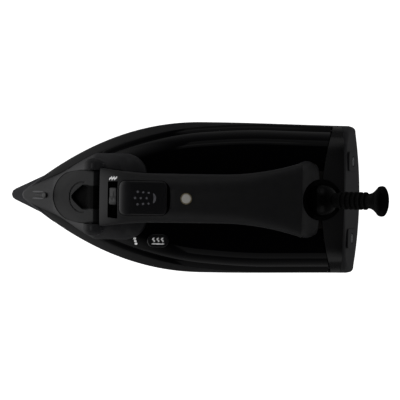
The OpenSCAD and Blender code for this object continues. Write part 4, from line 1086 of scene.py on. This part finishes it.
rear = build("rear_band", rear_shell(), gloss_abs, "housing", ["rear_housing"], sharp=24)
carve(rear, [prism(circle(socket_r) + ball_at[:2], ball_at[2] - 14, ball_at[2] + 50)], sharp=24)


def heel_end(y, z):
    """The heel's leaning, slightly bowed face."""
    return heel_x - np.clip(z - heel_datum_z, 0, None) * heel_lean - 2.4 * (y / 60) ** 2


def heel_shell():
    """Heel cover: the rear band's section carried back, turned round a soft edge and closed by the face."""
    base = rear_profile(np.array([heel_x0]))[0]
    edge = 4.0
    rows = []
    for t in np.linspace(0, 1, 7):
        row = base.copy()
        row[:, 0] = mix(heel_x0 + 0.15, heel_end(base[:, 1], base[:, 2]) - edge, t)
        rows.append(row)
    for a in np.radians(np.linspace(12, 90, 8)):
        inset = edge * (1 - math.cos(a))
        row = base.copy()
        row[:, 1] *= 1 - inset / half_w
        row[:, 2] = tank_base + (base[:, 2] - tank_base) * (1 - inset / 50)
        row[:, 0] = heel_end(row[:, 1], row[:, 2]) - edge * (1 - math.sin(a))
        rows.append(row)
    last = rows[-1]
    for s in np.linspace(1, 0, 9)[1:]:
        row = last.copy()
        row[:, 2] = tank_base + (last[:, 2] - tank_base) * s
        row[:, 1] = last[:, 1]
        row[:, 0] = heel_end(row[:, 1], row[:, 2])
        rows.append(row)
    outer = np.stack(rows)
    under = outer.copy()
    under[..., 2] = tank_base
    flat_front = np.stack([outer[0], under[0]])
    under = np.concatenate([under[:len(rows) - 8], outer[-1:]])
    return [(outer, False), (flat_front, False), (under, False)]


build("heel_cap", heel_shell(), heel_abs, "housing", ["heel_cover"], sharp=30)


# ---- Cord swivel and guard ----
guard_axis = np.array([math.cos(guard_lean), 0, math.sin(guard_lean)])


def guard_profile():
    """Ribbed sleeve: rounded ribs on a neck, a trumpet mouth, a round lip and the bore back to the ball."""
    neck, rib, rib_count, pitch = 6.0, 7.2, 6, 4.2
    points = [(ball_r - 1.5, bore_r), (ball_r - 1.5, neck)]
    for k in range(rib_count):
        s = 16 + pitch * k
        points += [(s, neck), (s + 0.1, rib - 0.5), (s + 0.6, rib)]
        points += [(s + 2.2, rib), (s + 2.7, rib - 0.5), (s + 2.8, neck)]
    t = np.linspace(0, 1, 12)
    points += [(mix(41.5, 50.5, k), neck + 5.9 * k ** 1.8) for k in t]
    points += [(51.4, 12.2), (52.6, 12.3), (53.5, 12.1), (54, 11.4), (53.7, 10.6)]
    points += [(mix(53, 43, k), mix(10.3, bore_r, k ** 0.6)) for k in t]
    return points + [(ball_r - 1.5, bore_r)]


build("cord_guard_sleeve", [(lathe(guard_profile(), ball_at, guard_axis, 64), True)], guard_tpe, "guard",
      ["cord_guard"], sharp=40)


def ball_profile():
    """Ball with the cord's bore through it."""
    a = np.linspace(-1, 1, 41) * (math.pi / 2)
    outer = [(ball_r * math.sin(k), ball_r * math.cos(k)) for k in a if ball_r * math.cos(k) > bore_r]
    return [(outer[0][0], bore_r), *outer, (outer[-1][0], bore_r), (outer[0][0], bore_r)]


build("swivel_ball_shell", [(lathe(ball_profile(), ball_at, guard_axis, 72), True)], ball_pa, "guard",
      ["swivel_ball"], sharp=40)


# ---- Self-clean key ----
def clean_cap():
    """Self-clean key: an oval with a rounded rim and a slightly dished top."""
    rows = []
    top_z = clean_high[2]
    steps = ((0, 7.0), (0, 1.0), (0.15, 0.5), (0.45, 0.15), (0.9, 0), (1.6, 0.1), (3.0, 0.25), (4.6, 0.3))
    for inset, drop in steps:
        loop = rounded(clean_l - 2 * inset, clean_w - 2 * inset, clean_w / 2 - inset - 0.02, 96)
        rows.append(raised(loop + clean_at[:2], top_z - drop))
    return [(stack(rows), True)]


build("self_clean_key", clean_cap(), key_abs, "clean_key", ["clean_button"], sharp=40)


def clean_mark():
    """Generic mark: a row of three rising wavy lines over a base line."""
    def flat(x, y):
        """The key's top, level under the mark."""
        return np.full(np.shape(x), clean_high[2] - 0.25)
    t = np.linspace(0, 1, 20)
    edge = 0.55 * np.sqrt(np.clip(1.02 - (2 * t - 1) ** 6, 0.02, None))
    grids = []
    for k in (-1, 0, 1):
        path = np.stack([clean_at[0] + 3.6 * k + 0.7 * np.sin(7.5 * t), clean_at[1] - 1.0 + 3.6 * t], -1)
        grids += stroke(path, edge, flat)
    base = np.stack([clean_at[0] + 5.4 * (2 * t - 1), clean_at[1] - 2.6 + 0 * t], -1)
    return grids + stroke(base, edge, flat)


build("self_clean_mark", clean_mark(), ink_white, "clean_key", ())


def tank_mark():
    """Small printed fill mark on the tank beside the self-clean key."""
    t = np.linspace(0, 1, 12)
    edge = 0.9 * np.sqrt(np.clip(1.02 - (2 * t - 1) ** 8, 0.02, None))
    grids = []
    for k in range(3):
        path = np.stack([clean_at[0] - 20.5 + 0.5 * k + 2.2 * t, clean_at[1] + 1.4 - 2.2 * k + 0 * t], -1)
        grids += stroke(path, edge, tank_height)
    return grids


build("tank_fill_mark", tank_mark(), ink_white, "housing", ())

# ---- Finishes of the frame's own parts ----
finishes = {
    "soleplate": sole_metal, "sole_casting": cast_metal, "heating_element": heater_steel,
    "chamber_gasket": gasket_rubber, "chamber_cover": zinc_steel, "cover_screws": zinc_steel,
    "thermostat": ceramic, "thermal_fuse": ceramic, "base_tray": tray_pa, "tray_screws": zinc_steel,
    "tank_floor": tank_pc, "valve_seat": brass, "dosing_needle": zinc_steel, "needle_seal": seal_rubber,
    "clean_rod": zinc_steel, "clean_spring": spring_steel, "clean_seat": seal_rubber,
    # The funnel, pin and slider track take the dead black that paints the hollows' shade
    "filler_funnel": well_shade_abs, "spray_hose": white_pom, "door_pin": well_shade_abs,
    "spray_piston": white_pom, "spray_spring": spring_steel,
    "spray_pump": white_pom, "steam_trigger": key_abs, "steam_piston": white_pom,
    "trigger_spring": spring_steel, "steam_pump": white_pom, "slider_track": well_shade_abs,
    "lamp_led": lens_pc, "control_board": board_fr4, "heel_pads": heel_abs, "heel_screws": zinc_steel,
    "swivel_seat": tray_pa, "swivel_ring": ball_pa, "terminal_block": white_pom, "cord_clamp": tray_pa,
    "power_wires": wire_pvc}
for name, made in finishes.items():
    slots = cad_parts[name].data.materials
    if len(slots):
        for k in range(len(slots)):
            slots[k] = made
    else:
        slots.append(made)

# ---- Stage ----
scene = bpy.context.scene
scene.view_settings.view_transform = "Standard"


def floor():
    """Pale square of floor under the iron, 6 m on a side."""
    mesh = bpy.data.meshes.new("floor")
    half = 3.0
    mesh.from_pydata([(-half, -half, 0), (half, -half, 0), (half, half, 0), (-half, half, 0)], [],
                     [(0, 1, 2, 3)])
    ground = bpy.data.objects.new("floor", mesh)
    bpy.context.collection.objects.link(ground)
    # Matt white sweep, lit from below like a light table so that it stays even
    paint = finish("matt_white_sweep", "#f6f6f6", "#fafafa", 0.9, 4.0, 0.02)
    shader = paint.node_tree.nodes["Principled BSDF"]
    shader.inputs["Emission Color"].default_value = (1, 1, 1, 1)
    shader.inputs["Emission Strength"].default_value = 1.0
    mesh.materials.append(paint)
    ground.visible_glossy = False


def aimed(thing, place, aim, up):
    """Put a camera or lamp at place, looking at aim, with up as near upright as it can be."""
    place, aim = np.array(place, float), np.array(aim, float)
    away = (place - aim) / np.linalg.norm(place - aim)
    side = np.cross(up, away)
    side /= np.linalg.norm(side)
    axes = np.stack([side, np.cross(away, side), away, place], -1)
    thing.matrix_world = Matrix([*axes.tolist(), [0, 0, 0, 1]])
    bpy.context.collection.objects.link(thing)


def softbox(name, place, size, power, mirrored=True):
    """A rectangular area light at place, facing the iron; polished parts may or may not mirror it."""
    data = bpy.data.lights.new(name, "AREA")
    data.shape = "RECTANGLE"
    data.size, data.size_y = size
    data.energy = power
    lamp = bpy.data.objects.new(name, data)
    lamp.visible_glossy = mirrored
    aimed(lamp, place, (0, 0, 0), (1, 0, 0) if abs(place[1]) > 1 else (0, 1, 0))


def camera():
    """Overhead view from 1.6 m, turned a little so that the heel sits lower in the picture."""
    data = bpy.data.cameras.new("camera")
    data.lens = 167.0
    data.sensor_width = 36
    data.clip_end = 20
    eye = bpy.data.objects.new("camera", data)
    roll = math.radians(0.9)
    aimed(eye, (0.01315, 0.018, 1.6), (0.01315, -0.0027, 0), (-math.sin(roll), math.cos(roll), 0))
    scene.camera = eye


def surroundings():
    """Dim studio with a pale wall ahead of the nose, a fainter one behind the heel and a dark ceiling."""
    world = bpy.data.worlds.new("studio")
    world.use_nodes = True
    scene.world = world
    tree = world.node_tree
    tree.nodes.clear()
    place = add(tree, "ShaderNodeTexCoord", {})
    split = add(tree, "ShaderNodeSeparateXYZ", {"Vector": place.outputs["Generated"]})
    along = add(tree, "ShaderNodeMapRange", {"Value": split.outputs["X"], "From Min": -1.0, "From Max": 1.0})
    walls = add(tree, "ShaderNodeValToRGB", {"Fac": along.outputs["Result"]})
    stops = walls.color_ramp.elements
    stops[0].position, stops[0].color = 0.05, (0.8, 0.8, 0.8, 1)
    stops[1].position, stops[1].color = 1.0, (0.13, 0.13, 0.13, 1)
    side = stops.new(0.4)
    side.color = (0.05, 0.05, 0.05, 1)
    fade = add(tree, "ShaderNodeMapRange", {"Value": split.outputs["Z"], "From Min": 0.3, "From Max": 0.85,
                                            "To Min": 1.0, "To Max": 0.2})
    glow = add(tree, "ShaderNodeBackground", {"Color": walls.outputs["Color"],
                                              "Strength": fade.outputs["Result"]})
    add(tree, "ShaderNodeOutputWorld", {"Surface": glow.outputs["Background"]})


floor()
softbox("softbox_nose", (-1.5, 0.1, 0.7), (1.6, 0.8), 2.0)
softbox("softbox_top", (0.1, 0.02, 2.2), (1.5, 1.5), 13, mirrored=False)
softbox("window", (-0.04, 1.5, 0.85), (0.3, 0.5), 0.16)
softbox("softbox_left", (0.1, 1.5, 0.7), (1.6, 0.7), 0.8)
softbox("softbox_right", (0.1, -1.5, 0.7), (1.6, 0.7), 1.2)
camera()
surroundings()
